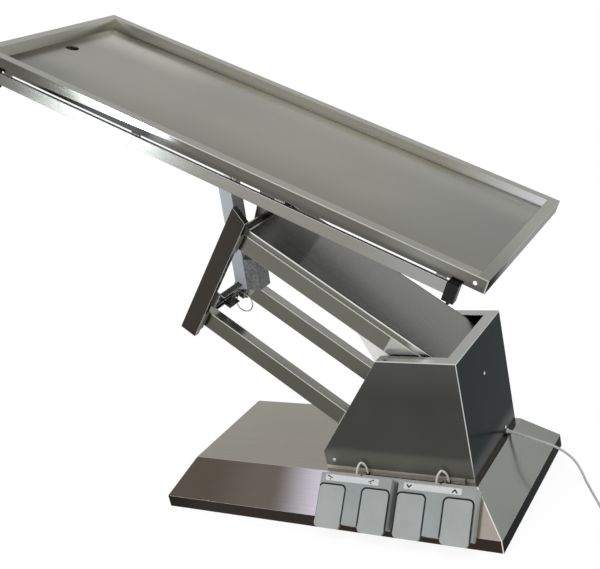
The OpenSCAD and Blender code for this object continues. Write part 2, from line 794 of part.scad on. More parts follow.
// Shafts that end inside the hollow posts
module head_shafts() {
  shaft_half = post_out - tube_wall;
  color(steel) at_head() for (u = [0, link_len]) bar_y([0, u], head_shaft_d, -shaft_half, shaft_half);
}

// Cross channel between the posts with a window for the tilt actuator
module head_channel() {
  color(dark_steel) at_head() union() {
    for (side = [-1, 1]) {
      y0 = side < 0 ? -post_in : notch_half;
      y1 = side < 0 ? -notch_half : post_in;
      box([web_w[0], y0, web_u[0]], [web_w[1], y1, web_u[1]]);
      box([web_w[0], y0, web_u[1] - plate_3], [web_w[1] + 14, y1, web_u[1]]);
    }
    box([web_w[0], -post_in, web_u[0]], [clear_w, post_in, web_u[0] + plate_3]);
    box([web_w[0], -gusset_in, web_u[0]], [flange_w - 17, gusset_in, web_u[0] + plate_3]);
    box([web_w[0], -lug_gap - lug_t - 1, web_u[0]], [flange_w, gusset_in, web_u[0] + plate_3]);
    box([web_w[0], -gusset_in, web_u[0]], [flange_w, -notch_half - 4, web_u[0] + plate_3]);
    both_sides() box([-12, post_in - plate_3, web_u[0]], [web_w[1], post_in, web_u[1]]);
    tail_lugs();
  }
}

// Two lugs for the tilt actuator's tail pin
module tail_lugs() {
  both_sides() difference() {
    slab(lug_gap, lug_gap + lug_t) union() {
      translate(tail_pin_at) circle(r = tail_eye_r);
      polygon([[flange_w - 22, web_u[0] + plate_3], [flange_w, web_u[0] + plate_3],
        [tail_out + tail_eye_r, tail_up], [tail_out - tail_eye_r, tail_up]]);
    }
    bar_y(tail_pin_at, act_pin_d, 0, 60);
  }
}

module tail_pin() {
  color(steel) at_head() difference() {
    union() {
      bar_y(tail_pin_at, act_pin_d, -lug_gap - lug_t - 14, lug_gap + lug_t);
      bar_y(tail_pin_at, act_pin_d + 8, lug_gap + lug_t, lug_gap + lug_t + 4);
    }
    translate([tail_pin_at[0], -lug_gap - lug_t - 9, tail_pin_at[1]]) rotate([0, 90 + ring_turn, 0])
      translate([0, 0, -20]) cylinder(d = ring_hole, h = 40);
  }
}

// Split ring through the end of the tail pin
module ring_clip() {
  color(steel) at_head() translate([tail_pin_at[0], -lug_gap - lug_t - 9, tail_pin_at[1]])
    rotate([0, ring_turn, 0]) translate([0, 0, (ring_hole - ring_wire) / 2 - ring_r])
      rotate([90, 0, 0]) rotate_extrude()
      translate([ring_r, 0]) circle(d = ring_wire, $fn = 16);
}

// Lift actuator: tail eye, gearbox, tube and motor
module lift_actuator() {
  color("lightgray") at_actuator(lift_pin, lift_lean) difference() {
    union() {
      bar_y([0, 0], lift_eye_d, -eye_half, eye_half);
      box([-tail_eye_r, -eye_half, 0], [tail_eye_r, eye_half, lift_gear[2] + 2]);
      box([-lift_tube_d / 2, -lift_gear[0], lift_gear[2]], [lift_gear[1], lift_gear[0], lift_gear[3]]);
      translate([0, 0, lift_gear[3] - 2]) cylinder(d = lift_tube_d, h = lift_tube_top - lift_gear[3] + 2);
      translate([lift_motor_x, 0, lift_gear[3] - 2]) cylinder(d = lift_motor_d, h = lift_motor_l);
    }
    bar_y([0, 0], act_pin_d + 2 * eye_fit, -eye_half - 1, eye_half + 1);
    translate([0, 0, lift_gear[2] + 20])
      cylinder(d = lift_tube_d - 12, h = lift_tube_top - lift_gear[3] + 2);
    translate([0, 0, lift_tube_top - 45]) cylinder(d = lift_rod_d + 2 * run_fit, h = 60);
  }
}

module rod_with_eye(d, low, length) {
  difference() {
    union() {
      translate([0, 0, low]) cylinder(d = d, h = length - rod_eye_r - low);
      translate([0, 0, length - rod_eye_r - rod_collar + 4]) cylinder(d = d + 4, h = rod_collar);
      bar_y([0, length], 2 * rod_eye_r, -eye_half, eye_half);
    }
    bar_y([0, length], act_pin_d + 2 * eye_room, -20, 20);
  }
}

module lift_rod() {
  color(steel) at_actuator(lift_pin, lift_lean) union() {
    rod_with_eye(lift_rod_d, lift_piston_z[0] + 2, lift_len);
    translate([0, 0, lift_piston_z[0]])
      cylinder(d = lift_tube_d - 14, h = lift_piston_z[1] - lift_piston_z[0]);
  }
}

// Tilt actuator: tail eye, square profile and the motor beside it
module tilt_actuator() {
  half_w = tilt_prof_w / 2;
  half_d = tilt_prof_d / 2;
  color("lightgray") at_actuator(tilt_tail, tilt_lean) difference() {
    union() {
      bar_y([0, 0], 2 * tail_eye_r, -eye_half, eye_half);
      box([-11, -eye_half, 0], [11, eye_half, tilt_motor_z[0] + plate_3]);
      box([-half_w, -half_d, tilt_motor_z[0]], [half_w, half_d, tilt_prof_top]);
      box([half_w - 1, -tilt_motor_half, tilt_motor_z[0]],
        [half_w + tilt_motor_w, tilt_motor_half, tilt_motor_z[1]]);
    }
    bar_y([0, 0], act_pin_d + 2 * run_fit, -eye_half - 1, eye_half + 1);
    translate([0, 0, tilt_bore_z[0]]) cylinder(d = tilt_rod_d + 10, h = tilt_bore_z[1] - tilt_bore_z[0]);
    translate([0, 0, tilt_bore_z[0]]) cylinder(d = tilt_rod_d + 2 * run_fit, h = tilt_prof_top);
  }
}

module tilt_rod() {
  color(steel) at_actuator(tilt_tail, tilt_lean) union() {
    rod_with_eye(tilt_rod_d, tilt_piston_z[0] + 2, tilt_len);
    translate([0, 0, tilt_piston_z[0]])
      cylinder(d = tilt_rod_d + 8, h = tilt_piston_z[1] - tilt_piston_z[0]);
  }
}

// Basin of the tray, widened by a step for its outside
module basin(step) {
  half_l = tray_l / 2 - rim_w + step;
  half_w = tray_w / 2 - rim_w + step;
  deep = basin_deep + step;
  shallow = basin_shallow + step;
  top = step > 0 ? 0 : 1;
  intersection() {
    slab(-tray_w, tray_w) polygon([[-half_l, top], [half_l, top], [half_l, 0],
      [half_l - wall_lean, -shallow], [-half_l + wall_lean, -deep], [-half_l, 0]]);
    rotate([0, 0, 90]) slab(-tray_l, tray_l) polygon([[-half_w, top], [half_w, top], [half_w, 0],
      [half_w - wall_lean, -deep], [-half_w + wall_lean, -deep], [-half_w, 0]]);
  }
}

// Sheet tray: rim, skirt and basin in one
module tray_pan() {
  half_l = tray_l / 2;
  half_w = tray_w / 2;
  color(steel) at_tray() difference() {
    union() {
      difference() {
        box([-half_l, -half_w, -tray_skirt], [half_l, half_w, 0]);
        box([-half_l + tray_sheet, -half_w + tray_sheet, -tray_skirt - 1],
          [half_l - tray_sheet, half_w - tray_sheet, -tray_sheet]);
      }
      basin(tray_sheet);
    }
    basin(0);
    translate([-drain_s, 0, -60]) cylinder(d = drain_d, h = 60);
    for (s = [-hole_s, hole_s]) bar_y([s, -tray_skirt / 2 - 2], hole_d, -half_w - 1, -half_w + 5);
  }
}

// Short outlet pipe under the drain hole
module drain_spout() {
  color(steel) at_tray() translate([-drain_s, 0, -basin_deep - spout_l]) difference() {
    cylinder(d = drain_d + plate_6, h = spout_l - tray_sheet + 0.1);
    translate([0, 0, -1]) cylinder(d = drain_d, h = spout_l + 2);
  }
}

function floor_under(s) = -(basin_deep + basin_shallow) / 2 - tray_sheet
  + (basin_deep - basin_shallow) / 2 * s / (tray_l / 2 - rim_w + tray_sheet - wall_lean);

// Long beam under the basin, cut to its falling floor
module frame_beam(y0, y1) {
  color(dark_steel) at_tray() difference() {
    slab(y0, y1) polygon([[-beam_half_l, -frame_drop], [beam_half_l, -frame_drop],
      [beam_half_l, floor_under(beam_half_l)], [-beam_half_l, floor_under(-beam_half_l)]]);
    box([-beam_half_l + tube_wall, y0 + tube_wall, -frame_drop + tube_wall],
      [beam_half_l - tube_wall, y1 - tube_wall, floor_under(-beam_half_l) - tube_wall]);
  }
}

// Cross members between the beams
module frame_crosses() {
  color(dark_steel) at_tray() for (s = cross_s) difference() {
    slab(-beam_y[0], beam_y[0]) polygon([[s - 20, -frame_drop], [s + 20, -frame_drop],
      [s + 20, floor_under(s + 20)], [s - 20, floor_under(s - 20)]]);
    box([s - 20 + tube_wall, -beam_y[0] - 1, -frame_drop + tube_wall],
      [s + 20 - tube_wall, beam_y[0] + 1, floor_under(s - 20) - tube_wall]);
  }
}

// Bracket from the tray's frame down to the tilt pivot
module tilt_bracket() {
  hinge = [hinge_shift, -hinge_drop];
  color(dark_steel) at_tray() difference() {
    union() {
      for (y = cheek_y) slab(y, y + cheek_t) polygon([
        [hinge_shift - cheek_half, -hinge_drop - cheek_low],
        [hinge_shift + cheek_half, -hinge_drop - cheek_low],
        [hinge_shift + cheek_half, -frame_drop], [hinge_shift - cheek_half, -frame_drop]]);
      box([hinge_shift + cheek_half - 4, cheek_y[0], -hinge_drop + 20],
        [hinge_shift + cheek_half, cheek_y[1] + cheek_t, -frame_drop]);
      box([hinge_shift - 2 * cheek_half, -beam_y[1], -frame_drop - plate_6],
        [hinge_shift + 2 * cheek_half, beam_y[1], -frame_drop]);
      bar_y(hinge, head_shaft_d + 2 * hub_wall, cheek_y[0], cheek_y[1] + cheek_t);
    }
    bar_y(hinge, head_shaft_d + 2 * run_fit, 0, 120);
  }
}

// Lugs for the tilt rod's eye under a cross member
module rod_lugs() {
  pin = [rod_pin_s, -rod_pin_drop];
  color(dark_steel) at_tray() both_sides() difference() {
    slab(lug_gap, lug_gap + lug_t) union() {
      translate(pin) circle(r = tail_eye_r);
      polygon([[rod_pin_s - tail_eye_r, pin[1]], [rod_pin_s + tail_eye_r, pin[1]],
        [rod_pin_s + 18, -frame_drop], [rod_pin_s - 18, -frame_drop]]);
    }
    bar_y(pin, act_pin_d, 0, 60);
  }
}

module rod_pin() {
  pin = [rod_pin_s, -rod_pin_drop];
  color(steel) at_tray() {
    bar_y(pin, act_pin_d, -lug_gap - lug_t, lug_gap + lug_t);
    both_sides() bar_y(pin, act_pin_d + 8, lug_gap + lug_t, lug_gap + lug_t + 4);
  }
}

// Near side rail, in the tray's frame
module side_rail() {
  y0 = tray_w / 2;
  color(steel) at_tray() box([-rail_l / 2, -y0 - rail_t, -rail_drop - rail_h],
    [rail_l / 2, -y0, -rail_drop]);
}

// Tabs welded inside the skirt that hold both rails
module rail_tabs() {
  y0 = tray_w / 2;
  color(steel) at_tray() both_sides() for (s = tab_s) {
    box([s - tab_w / 2, y0 - tray_sheet - plate_6, -rail_drop - rail_h + 2],
      [s + tab_w / 2, y0 - tray_sheet, -6]);
    box([s - tab_w / 2, y0 - tray_sheet, -rail_drop - rail_h + 2], [s + tab_w / 2, y0, -rail_drop]);
  }
}

// Screws driven from inside, with their heads on the tabs
module rail_screws() {
  y0 = tray_w / 2 - tray_sheet - plate_6;
  color(steel) at_tray() both_sides() for (s = tab_s)
    bar_y([s, -rail_drop - rail_h / 2], screw_d, y0 - screw_head, y0);
}

// Black stops with a clamp screw at the ends of a near rail
module rail_stops() {
  y0 = tray_w / 2;
  color("black") at_tray() both_sides() for (side = [-1, 1]) {
    x0 = side > 0 ? rail_l / 2 : -rail_l / 2 - stop_l;
    box([x0, y0 + stop_depth[0], -stop_low], [x0 + stop_l, y0 + stop_depth[1], -rail_drop + plate_3]);
    translate([x0 + stop_l / 2, y0 + plate_6, -stop_low - knob_h]) cylinder(d = knob_d, h = knob_h + 1);
  }
}

// Base and column
base_cover();
base_plate();
base_ribs();
housing_shell();
both_sides() pivot_plate();  // pivot_plates
base_shafts();
lift_bracket();
lift_bracket_pin();
control_box();
control_board();
housing_screws();

// Foot switches
switch_strip();
switch_unit(unit_start[0]);  // switch_unit_tilt
switch_unit(unit_start[1]);  // switch_unit_lift
switch_labels();
switch_pins();
switch_leads();
lead_grommets();
switch_pad(0, 0);  // pad_tilt_left
switch_pad(0, 1);  // pad_tilt_right
switch_pad(1, 0);  // pad_lift_down
switch_pad(1, 1);  // pad_lift_up

// Mains lead
cord_gland();
power_cord();
cord_coil();
power_plug();

// Arms
arm_tube(high_pivot);  // upper_arm_near
mirror([0, 1, 0]) arm_tube(high_pivot);  // upper_arm_far
arm_bushes(high_pivot);  // upper_bushes
arm_cover();
arm_gussets();
lever_pin();
arm_tube(low_pivot);  // lower_arm_near
mirror([0, 1, 0]) arm_tube(low_pivot);  // lower_arm_far
arm_bushes(low_pivot);  // lower_bushes

// Head and actuators
post();  // post_near
mirror([0, 1, 0]) post();  // post_far
post_pads();
head_channel();
tail_pin();
ring_clip();
head_shafts();
lift_actuator();
lift_rod();
tilt_actuator();
tilt_rod();

// Tray
tray_pan();
drain_spout();
frame_beam(-beam_y[1], -beam_y[0]);  // frame_beam_near
frame_beam(beam_y[0], beam_y[1]);  // frame_beam_far
frame_crosses();
tilt_bracket();
rod_lugs();
rod_pin();
side_rail();  // rail_near
mirror([0, 1, 0]) side_rail();  // rail_far
rail_tabs();
rail_screws();
rail_stops();
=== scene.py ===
from math import atan2, cos, floor, pi, radians, sin

import bpy
from mathutils import Matrix, Vector


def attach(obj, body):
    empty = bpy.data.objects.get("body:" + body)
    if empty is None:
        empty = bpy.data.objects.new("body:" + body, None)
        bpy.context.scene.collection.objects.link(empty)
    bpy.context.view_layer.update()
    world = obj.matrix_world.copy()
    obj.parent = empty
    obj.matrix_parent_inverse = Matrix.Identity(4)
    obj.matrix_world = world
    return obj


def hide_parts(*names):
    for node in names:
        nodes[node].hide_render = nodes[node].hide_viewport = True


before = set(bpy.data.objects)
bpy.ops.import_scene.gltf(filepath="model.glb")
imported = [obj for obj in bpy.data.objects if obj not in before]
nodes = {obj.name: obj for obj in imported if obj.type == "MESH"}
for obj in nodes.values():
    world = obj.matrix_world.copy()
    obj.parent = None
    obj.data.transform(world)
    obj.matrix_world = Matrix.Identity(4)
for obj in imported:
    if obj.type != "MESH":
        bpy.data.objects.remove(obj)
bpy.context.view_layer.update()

# Electric operating table: steel base with foot switches, parallel lift arms and a tilting tray.
# Typed sizes are in millimetres and typed angles in degrees, in the frame of the CAD model.
# Blender's own units are metres, so a size is multiplied by MM where it reaches Blender.

MM = 0.001

# Sizes taken over from the CAD model
BASE_L, BASE_W, BASE_H, SKIRT_H = 1015, 510, 125, 35
SLOPE_RUN_X, SLOPE_RUN_Y = 76, 81
HOUSING_RIGHT, HOUSING_HALF, HOUSING_TOP = 421, 160, 452
ARM_SLOPE, TRAY_SLOPE, POST_SLOPE = 37.5, 27.3, -51.37
TRAY_L, TRAY_W, RIM_W = 1442, 550, 26
TRAY_MID = (-59.64, 0, 1037.59)
TILT_TAIL, TILT_LEAN = (-242.95, 0, 576.41), 86.1
HIGH_PIVOT, LOW_PIVOT = (335, 0, 402), (160, 0, 183)
PAD_TOP = 30
PAD_MIDS, PAD_MID_Y = (46.5, 173, 272.5, 399), -94
PAD_HALF, PAD_ROUND = (38, 56), 12
COVER_HALF = 121
CORD_D = 6.5
RELIEF_LEN, RELIEF_DIP = 26, 12
PLUG_D = 40

# The base cover's front slope, on which the foot switches stand
SLOPE_ANGLE = atan2(BASE_H - SKIRT_H, SLOPE_RUN_Y)
SLOPE_AT = (0, -BASE_W / 2 + SLOPE_RUN_Y, BASE_H)

# The photograph's own camera, found from its perspective, with its place in metres
CAMERA_AT = (1.2946, -2.0557, 1.4126)
CAMERA_RIGHT = Vector((0.851608, 0.483694, -0.201999))
CAMERA_UP = Vector((0.00734, 0.37432, 0.92727))
CAMERA_LENS, CAMERA_SENSOR = 57.53, 36.0


def mm(*values):
    return Vector(values) * MM


# Camera and cords

def add_camera():
    data = bpy.data.cameras.new("camera")
    data.lens = CAMERA_LENS
    data.sensor_width = CAMERA_SENSOR
    data.clip_end = 100
    camera = bpy.data.objects.new("camera", data)
    back = CAMERA_RIGHT.cross(CAMERA_UP)
    turn = Matrix((CAMERA_RIGHT, CAMERA_UP, back)).transposed().to_4x4()
    camera.matrix_world = Matrix.Translation(CAMERA_AT) @ turn
    bpy.context.scene.collection.objects.link(camera)
    bpy.context.scene.camera = camera


def curve_point(points, i, share):
    """Point at a share of the way from points[i] to the next, on a smooth curve through them all."""
    a, b = points[max(i - 1, 0)], points[i]
    c, d = points[i + 1], points[min(i + 2, len(points) - 1)]
    bend = 2 * a - 5 * b + 4 * c - d + share * (3 * b - a - 3 * c + d)
    return b + 0.5 * share * (c - a + share * bend)


def smooth_path(points, parts):
    path = [curve_point(points, i, k / parts) for i in range(len(points) - 1) for k in range(parts)]
    return path + [points[-1]]


CORD_EXIT = Vector((HOUSING_RIGHT, 89, BASE_H + 8))
CORD_DIR = Vector((cos(radians(RELIEF_DIP)), 0, -sin(radians(RELIEF_DIP))))
CORD_POINTS = [(470, 88.5, 121), (488, 88.5, 116), (505, 88, 111), (522, 88, 106), (538, 88, 100.5),
               (552, 87.5, 94.5), (566, 87.5, 86.5), (579, 87, 77), (591, 86.5, 65), (601, 85.5, 50),
               (609, 83.5, 34), (616, 79, 19), (623, 71.5, 9), (631, 61, 4.6), (642, 42, 3.5),
               (659, 13, 3.4), (677, -18, 3.4), (696, -52, 3.4)]
COIL_MID, COIL_LOW = (756, -60), 3.3
COIL_FIRST, COIL_ANGLE, COIL_STEP = 48, 209, CORD_D + 0.7
COIL_TURNS, COIL_LAYERS = 2.5, 4
COIL_TOTAL = COIL_TURNS * COIL_LAYERS
COIL_TOP = COIL_LOW + (COIL_LAYERS - 1) * COIL_STEP
COIL_TURN_POINTS = 48

# The coil's end runs outward and down to the plug over this share of a turn
TAIL_TURNS, TAIL_SPREAD, TAIL_FALL = 0.4, 36, 1.3


def coil_radius(turns):
    """The layers wind inward and outward by turns."""
    layers = turns / COIL_TURNS
    share = layers - 2 * floor(layers / 2)
    return COIL_FIRST - COIL_STEP * COIL_TURNS * (share if share < 1 else 2 - share)


def coil_layer(turns):
    """Layer of the coil; half a turn of cord climbs from each layer to the next."""
    change = floor(turns / COIL_TURNS + 0.5)
    if change < 1 or change > COIL_LAYERS - 1:
        return min(COIL_LAYERS - 1, floor(turns / COIL_TURNS))
    return change - 0.5 + max(-0.5, min(0.5, (turns - change * COIL_TURNS) * 2))


def coil_at(turns):
    over = max(0, turns - COIL_TOTAL)
    radius = coil_radius(min(turns, COIL_TOTAL)) + TAIL_SPREAD * over
    angle = radians(COIL_ANGLE + 360 * turns)
    height = COIL_LOW + COIL_STEP * coil_layer(turns)
    if turns >= COIL_TOTAL:
        height = COIL_TOP - (COIL_TOP - PLUG_D / 2) * min(1, over / TAIL_TURNS * TAIL_FALL)
    return Vector((COIL_MID[0] + radius * cos(angle), COIL_MID[1] + radius * sin(angle), height))


def cord_path():
    """The mains lead's route: out of its strain relief, down to the floor and into a neat coil."""
    start = CORD_EXIT + RELIEF_LEN * CORD_DIR
    coil_dir = (coil_at(0.01) - coil_at(0)).normalized()
    joint = coil_at(0) - CORD_D * coil_dir
    route = [start, start + CORD_D * CORD_DIR] + [Vector(p) for p in CORD_POINTS]
    route = smooth_path(route + [joint - CORD_D * coil_dir, joint], 4)
    count = floor((COIL_TOTAL + TAIL_TURNS) * COIL_TURN_POINTS)
    coil = [coil_at(i / COIL_TURN_POINTS) for i in range(count + 1)]
    end_dir = coil[-1] - coil[-2]
    end_dir.z = 0
    end_dir.normalize()
    return [p * MM for p in route + coil + [coil[-1] + CORD_D * end_dir]]


def add_cord():
    path = cord_path()
    data = bpy.data.curves.new("mains_lead", "CURVE")
    data.dimensions = "3D"
    data.bevel_depth = 1
    data.bevel_resolution = 4
    data.use_fill_caps = True
    spline = data.splines.new("POLY")
    spline.points.add(len(path) - 1)
    for point, place in zip(spline.points, path):
        point.co = (*place, 1)
        point.radius = CORD_D / 2 * MM
    spline.use_smooth = True
    lead = bpy.data.objects.new("mains_lead", data)
    bpy.context.scene.collection.objects.link(lead)
    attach(lead, "base")
    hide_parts("power_cord", "cord_coil")
    return lead


# Materials

class Graph:
    """A tree of shader nodes, with short ways to add and join them."""

    def __init__(self, tree):
        self.tree = tree

    def add(self, kind, settings=(), **inputs):
        """New node; an input is named, or numbered as in _0."""
        made = self.tree.nodes.new(kind)
        for name, value in dict(settings).items():
            setattr(made, name, value)
        for name, value in inputs.items():
            socket = int(name[1:]) if name.startswith("_") else name
            self.join(value, made.inputs[socket])
        return made

    def join(self, value, socket):
        if isinstance(value, bpy.types.NodeSocket):
            self.tree.links.new(value, socket)
        else:
            socket.default_value = value

    def math(self, operation, a, b=0.0):
        return self.add("ShaderNodeMath", {"operation": operation}, _0=a, _1=b).outputs[0]

    def most(self, a, b):
        return self.math("MAXIMUM", a, b)

    def both(self, *masks):
        joined = masks[0]
        for mask in masks[1:]:
            joined = self.math("MULTIPLY", joined, mask)
        return joined

    def between(self, value, low, high, start=0.0, end=1.0):
        """Smooth step from low to high while the value runs from start to end."""
        made = self.add("ShaderNodeMapRange", {"interpolation_type": "SMOOTHSTEP"}, Value=value)
        for socket, number in zip(("From Min", "From Max", "To Min", "To Max"), (start, end, low, high)):
            made.inputs[socket].default_value = number
        return made.outputs[0]

    def mix(self, factor, a, b, blend="MIX"):
        made = self.add("ShaderNodeMix", {"data_type": "RGBA", "blend_type": blend})
        self.join(factor, made.inputs[0])
        self.join(a, made.inputs[6])
        self.join(b, made.inputs[7])
        return made.outputs[2]

    def seen(self):
        """One for what the camera sees, directly, in gloss or through glass."""
        path = self.add("ShaderNodeLightPath").outputs
        direct = self.most(path["Is Camera Ray"], path["Is Glossy Ray"])
        return self.most(direct, path["Is Transmission Ray"])


class Shader(Graph):
    """A material, with masks for its zones."""

    def __init__(self, name, **constants):
        self.material = bpy.data.materials.new(name)
        self.material.use_nodes = True
        super().__init__(self.material.node_tree)
        self.surface = self.tree.nodes["Principled BSDF"]
        for socket, value in constants.items():
            self.surface.inputs[socket.replace("_", " ")].default_value = value

    def finish(self, **inputs):
        """Join the surface's inputs and hand out the material."""
        for socket, value in inputs.items():
            self.join(value, self.surface.inputs[socket.replace("_", " ")])
        return self.material

    def turned(self, output, turn, origin=(0, 0, 0)):
        """Object coordinates or normal, seen in a frame that stands at origin and is turned by turn."""
        value = self.add("ShaderNodeTexCoord").outputs[output]
        made = self.add("ShaderNodeMapping", {"vector_type": "TEXTURE"}, Vector=value, Rotation=turn,
                        Location=mm(*origin))
        return made.outputs[0]

    def parts(self, vector):
        return self.add("ShaderNodeSeparateXYZ", _0=vector).outputs

    def noise(self, scale, stretch=(1, 1, 1), turn=(0, 0, 0), detail=3.0):
        shape = self.add("ShaderNodeMapping", Vector=self.turned("Object", turn), Scale=stretch)
        made = self.add("ShaderNodeTexNoise", Vector=shape.outputs[0], Scale=scale, Detail=detail)
        return made.outputs[0]

    def varied(self, noise, low=0, high=1):
        """From low to high while a noise runs through the middle of its range."""
        return self.between(noise, low, high, 0.3, 0.7)

    def bump(self, height, distance, strength, under=None):
        """Normal of a rough surface, which may lie over another one."""
        made = self.add("ShaderNodeBump", Height=height, Distance=distance * MM, Strength=strength)
        if under is not None:
            self.join(under, made.inputs["Normal"])
        return made.outputs[0]

    def past(self, place, start, end):
        """Nothing up to start and one from end on."""
        return self.between(place, 0, 1, start * MM, end * MM)

    def until(self, place, start, end):
        """One up to start and nothing from end on."""
        return self.between(place, 1, 0, start * MM, end * MM)

    def band(self, place, low, high, soft):
        """One between low and high, fading to nothing over soft at each side."""
        return self.both(self.past(place, low - soft, low + soft),
                         self.until(place, high - soft, high + soft))

    def edge(self, place, corner, width, soft=0.8):
        """One on a line of the width given that ends at a corner."""
        return self.past(place, corner - width, corner - width + soft)


class Look:
    """Colour, tint of the grazing reflection and added roughness, laid over by masks."""

    def __init__(self, made, colour):
        self.made, self.colour, self.tint, self.rough = made, colour, grey(1), 0.0

    def paint(self, colour, *masks, tint=None):
        """Lay a colour, and a tint where one is given, over the place where all the masks meet."""
        mask = self.made.both(*masks)
        self.colour = self.made.mix(mask, self.colour, colour)
        if tint is not None:
            self.tint = self.made.mix(mask, self.tint, tint)


def rgb(red, green, blue):
    """Linear colour of an 8-bit screen colour."""
    def linear(level):
        share = level / 255
        return share / 12.92 if share <= 0.04045 else ((share + 0.055) / 1.055) ** 2.4
    return (linear(red), linear(green), linear(blue), 1)


def grey(value):
    return (value, value, value, 1)


# Turns about X, Y and Z of the frames in which the looks of pieces are laid out
LEVEL = (0, 0, 0)
ARM_TURN = (0, radians(ARM_SLOPE), 0)
TRAY_TURN = (0, radians(TRAY_SLOPE), 0)
POST_TURN = (0, radians(POST_SLOPE), 0)
SLOPE_TURN = (SLOPE_ANGLE, 0, 0)

# A face looks along an axis where that part of its normal rises over one of these ranges
SQUARE_ON, NEARLY = (0.85, 0.97), (0.8, 0.95)

# Pale colour painted along steel edges: a painted highlight.
EDGE_HIGHLIGHT = (0.82, 0.82, 0.8, 1)
# Pale colour for steel faces that look down: a painted reflection of the floor.
UNDER_FLOOR_REFLECTION = rgb(205, 205, 201)


def toward_viewer(made, facing):
    return made.between(facing[1], 1, 0, -NEARLY[1], -NEARLY[0])


def along_sides(made, facing):
    return made.between(made.math("ABSOLUTE", facing[1]), 0, 1, *NEARLY)


def base_zones(made, at, facing, look):
    """Painted reflections run from brown to pale across the base cover's front slope, painted highlights
    lie along its edges, and its right end is painted in shade.
    """
    x, y, _ = at
    skirt = toward_viewer(made, facing)
    slope = made.both(made.between(facing[1], 1, 0, -0.8, -0.6),
                      made.between(facing[1], 0, 1, -0.95, -0.85))
    right_slope = made.between(facing[0], 0, 1, 0.66, 0.72)
    right_skirt = made.between(facing[0], 0, 1, *SQUARE_ON)
    # Painted reflections on the front slope: brown to the left, pale beside the pedals, grey behind them
    # and tan past them, and on the right-hand slope.
    look.paint(rgb(80, 70, 60), slope)
    look.paint(rgb(104, 98, 91), slope, made.past(x, -380, -200))
    look.paint(rgb(216, 211, 222), slope, made.past(x, -160, 0))
    look.paint(rgb(130, 128, 120), slope, made.band(x, 10, 440, 10))
    look.paint(rgb(152, 143, 128), slope, made.past(x, 430, 440))
    look.paint(rgb(129, 131, 127), right_slope)
    # Painted highlight along the edge where the front slope meets the right-hand one.
    ridge_run = SLOPE_RUN_X / SLOPE_RUN_Y
    along_ridge = made.math("ADD", x, made.math("MULTIPLY", y, ridge_run))
    look.paint(EDGE_HIGHLIGHT, slope, made.edge(along_ridge, BASE_L / 2 - BASE_W / 2 * ridge_run, 3.6))
    # Painted dark reflection on the skirt's left part, a painted highlight on its right corner and painted
    # shade on the right-hand skirt.
    look.paint(rgb(30, 28, 22), skirt, made.until(x, -500, -360))
    look.paint(EDGE_HIGHLIGHT, skirt, made.edge(x, BASE_L / 2, 3))
    look.paint(rgb(36, 38, 38), right_skirt, tint=grey(0.47))


def housing_zones(made, at, facing, look):
    """The housing's right wall is painted in shade with a paler painted reflection low down; its front
    takes painted reflections, paler at the foot, and a pale band painted along the foot; painted
    highlights lie on its edges.
    """
    x, y, z = at
    front = toward_viewer(made, facing)
    right = made.between(facing[0], 0, 1, *SQUARE_ON)
    top = made.between(facing[2], 0, 1, 0.9, 0.97)
    upright = made.between(made.math("ABSOLUTE", facing[2]), 1, 0, 0.2, 0.3)
    foot = made.both(front, made.until(z, BASE_H + 25, BASE_H + 75))
    # Painted reflections on the front: paler at the foot, lighter at the top.
    look.paint(rgb(118, 118, 109), foot)
    look.rough = made.math("MULTIPLY", foot, 0.42)
    look.paint(rgb(78, 79, 77), front, made.past(z, HOUSING_TOP - 112, HOUSING_TOP - 2))
    look.paint(rgb(214, 209, 199), front, made.until(z, BASE_H + 10.2, BASE_H + 11.4))
    # Painted shade on the right wall, with a paler painted reflection low down.
    look.paint(rgb(50, 54, 54), right, tint=grey(0.52))
    look.paint(rgb(98, 100, 99), right, made.until(z, BASE_H + 15, BASE_H + 65))
    # Painted highlights on the top's near rim, along the rim and down the front corner.
    near_rim = made.both(top, made.until(y, 15 - HOUSING_HALF, 20 - HOUSING_HALF))
    look.paint(rgb(212, 211, 204), near_rim, made.band(x, 240, 345, 30))
    rim = made.both(upright, made.edge(z, HOUSING_TOP, 3.5, 1))
    corner = made.both(front, made.edge(x, HOUSING_RIGHT, 2.6))
    look.paint(rgb(205, 206, 204), made.most(rim, corner))


def tray_floor_zones(made, at, facing, look):
    """Painted reflections darken the tray's floor to the low end and the near side; painted shade lies
    along the seam at the far wall and the high end, and the flat rim round it takes painted reflections.
    """
    x, y, _ = at
    half_l, half_w = TRAY_L / 2 - RIM_W, TRAY_W / 2 - RIM_W
    up = made.between(facing[2], 0, 1, *SQUARE_ON)
    far_side = made.past(y, 60, 200)
    # Painted reflections on the floor, darker to the low end and the near side, paler to the far side.
    look.paint(rgb(113, 114, 108), up, made.past(x, 300, 660))
    look.paint(rgb(117, 117, 108), up, made.until(y, -240, -50))
    look.paint(rgb(144, 144, 136), up, made.past(y, 100, 240))
    look.paint(rgb(172, 172, 162), up, far_side, made.until(x, -500, -200))
    look.paint(rgb(132, 132, 126), up, far_side, made.past(x, 250, 500))
    look.paint(rgb(107, 107, 100), up, made.until(y, -200, -100), made.until(x, -600, -400))
    # Painted shade along the seam where the floor meets the far wall and the high end.
    seam = made.most(made.past(y, half_w - 39, half_w - 1), made.until(x, 3 - half_l, 15 - half_l))
    look.paint(rgb(84, 84, 76), up, seam)
    # Painted reflections on the flat rim.
    over_end = made.past(made.math("ABSOLUTE", x), half_l - 1, half_l + 2)
    over_side = made.past(made.math("ABSOLUTE", y), half_w - 1, half_w + 2)
    look.paint(rgb(140, 140, 132), up, made.most(over_end, over_side))
    look.paint(rgb(122, 122, 115), up, over_end, made.past(x, 0, 100), made.until(y, -270, 50))


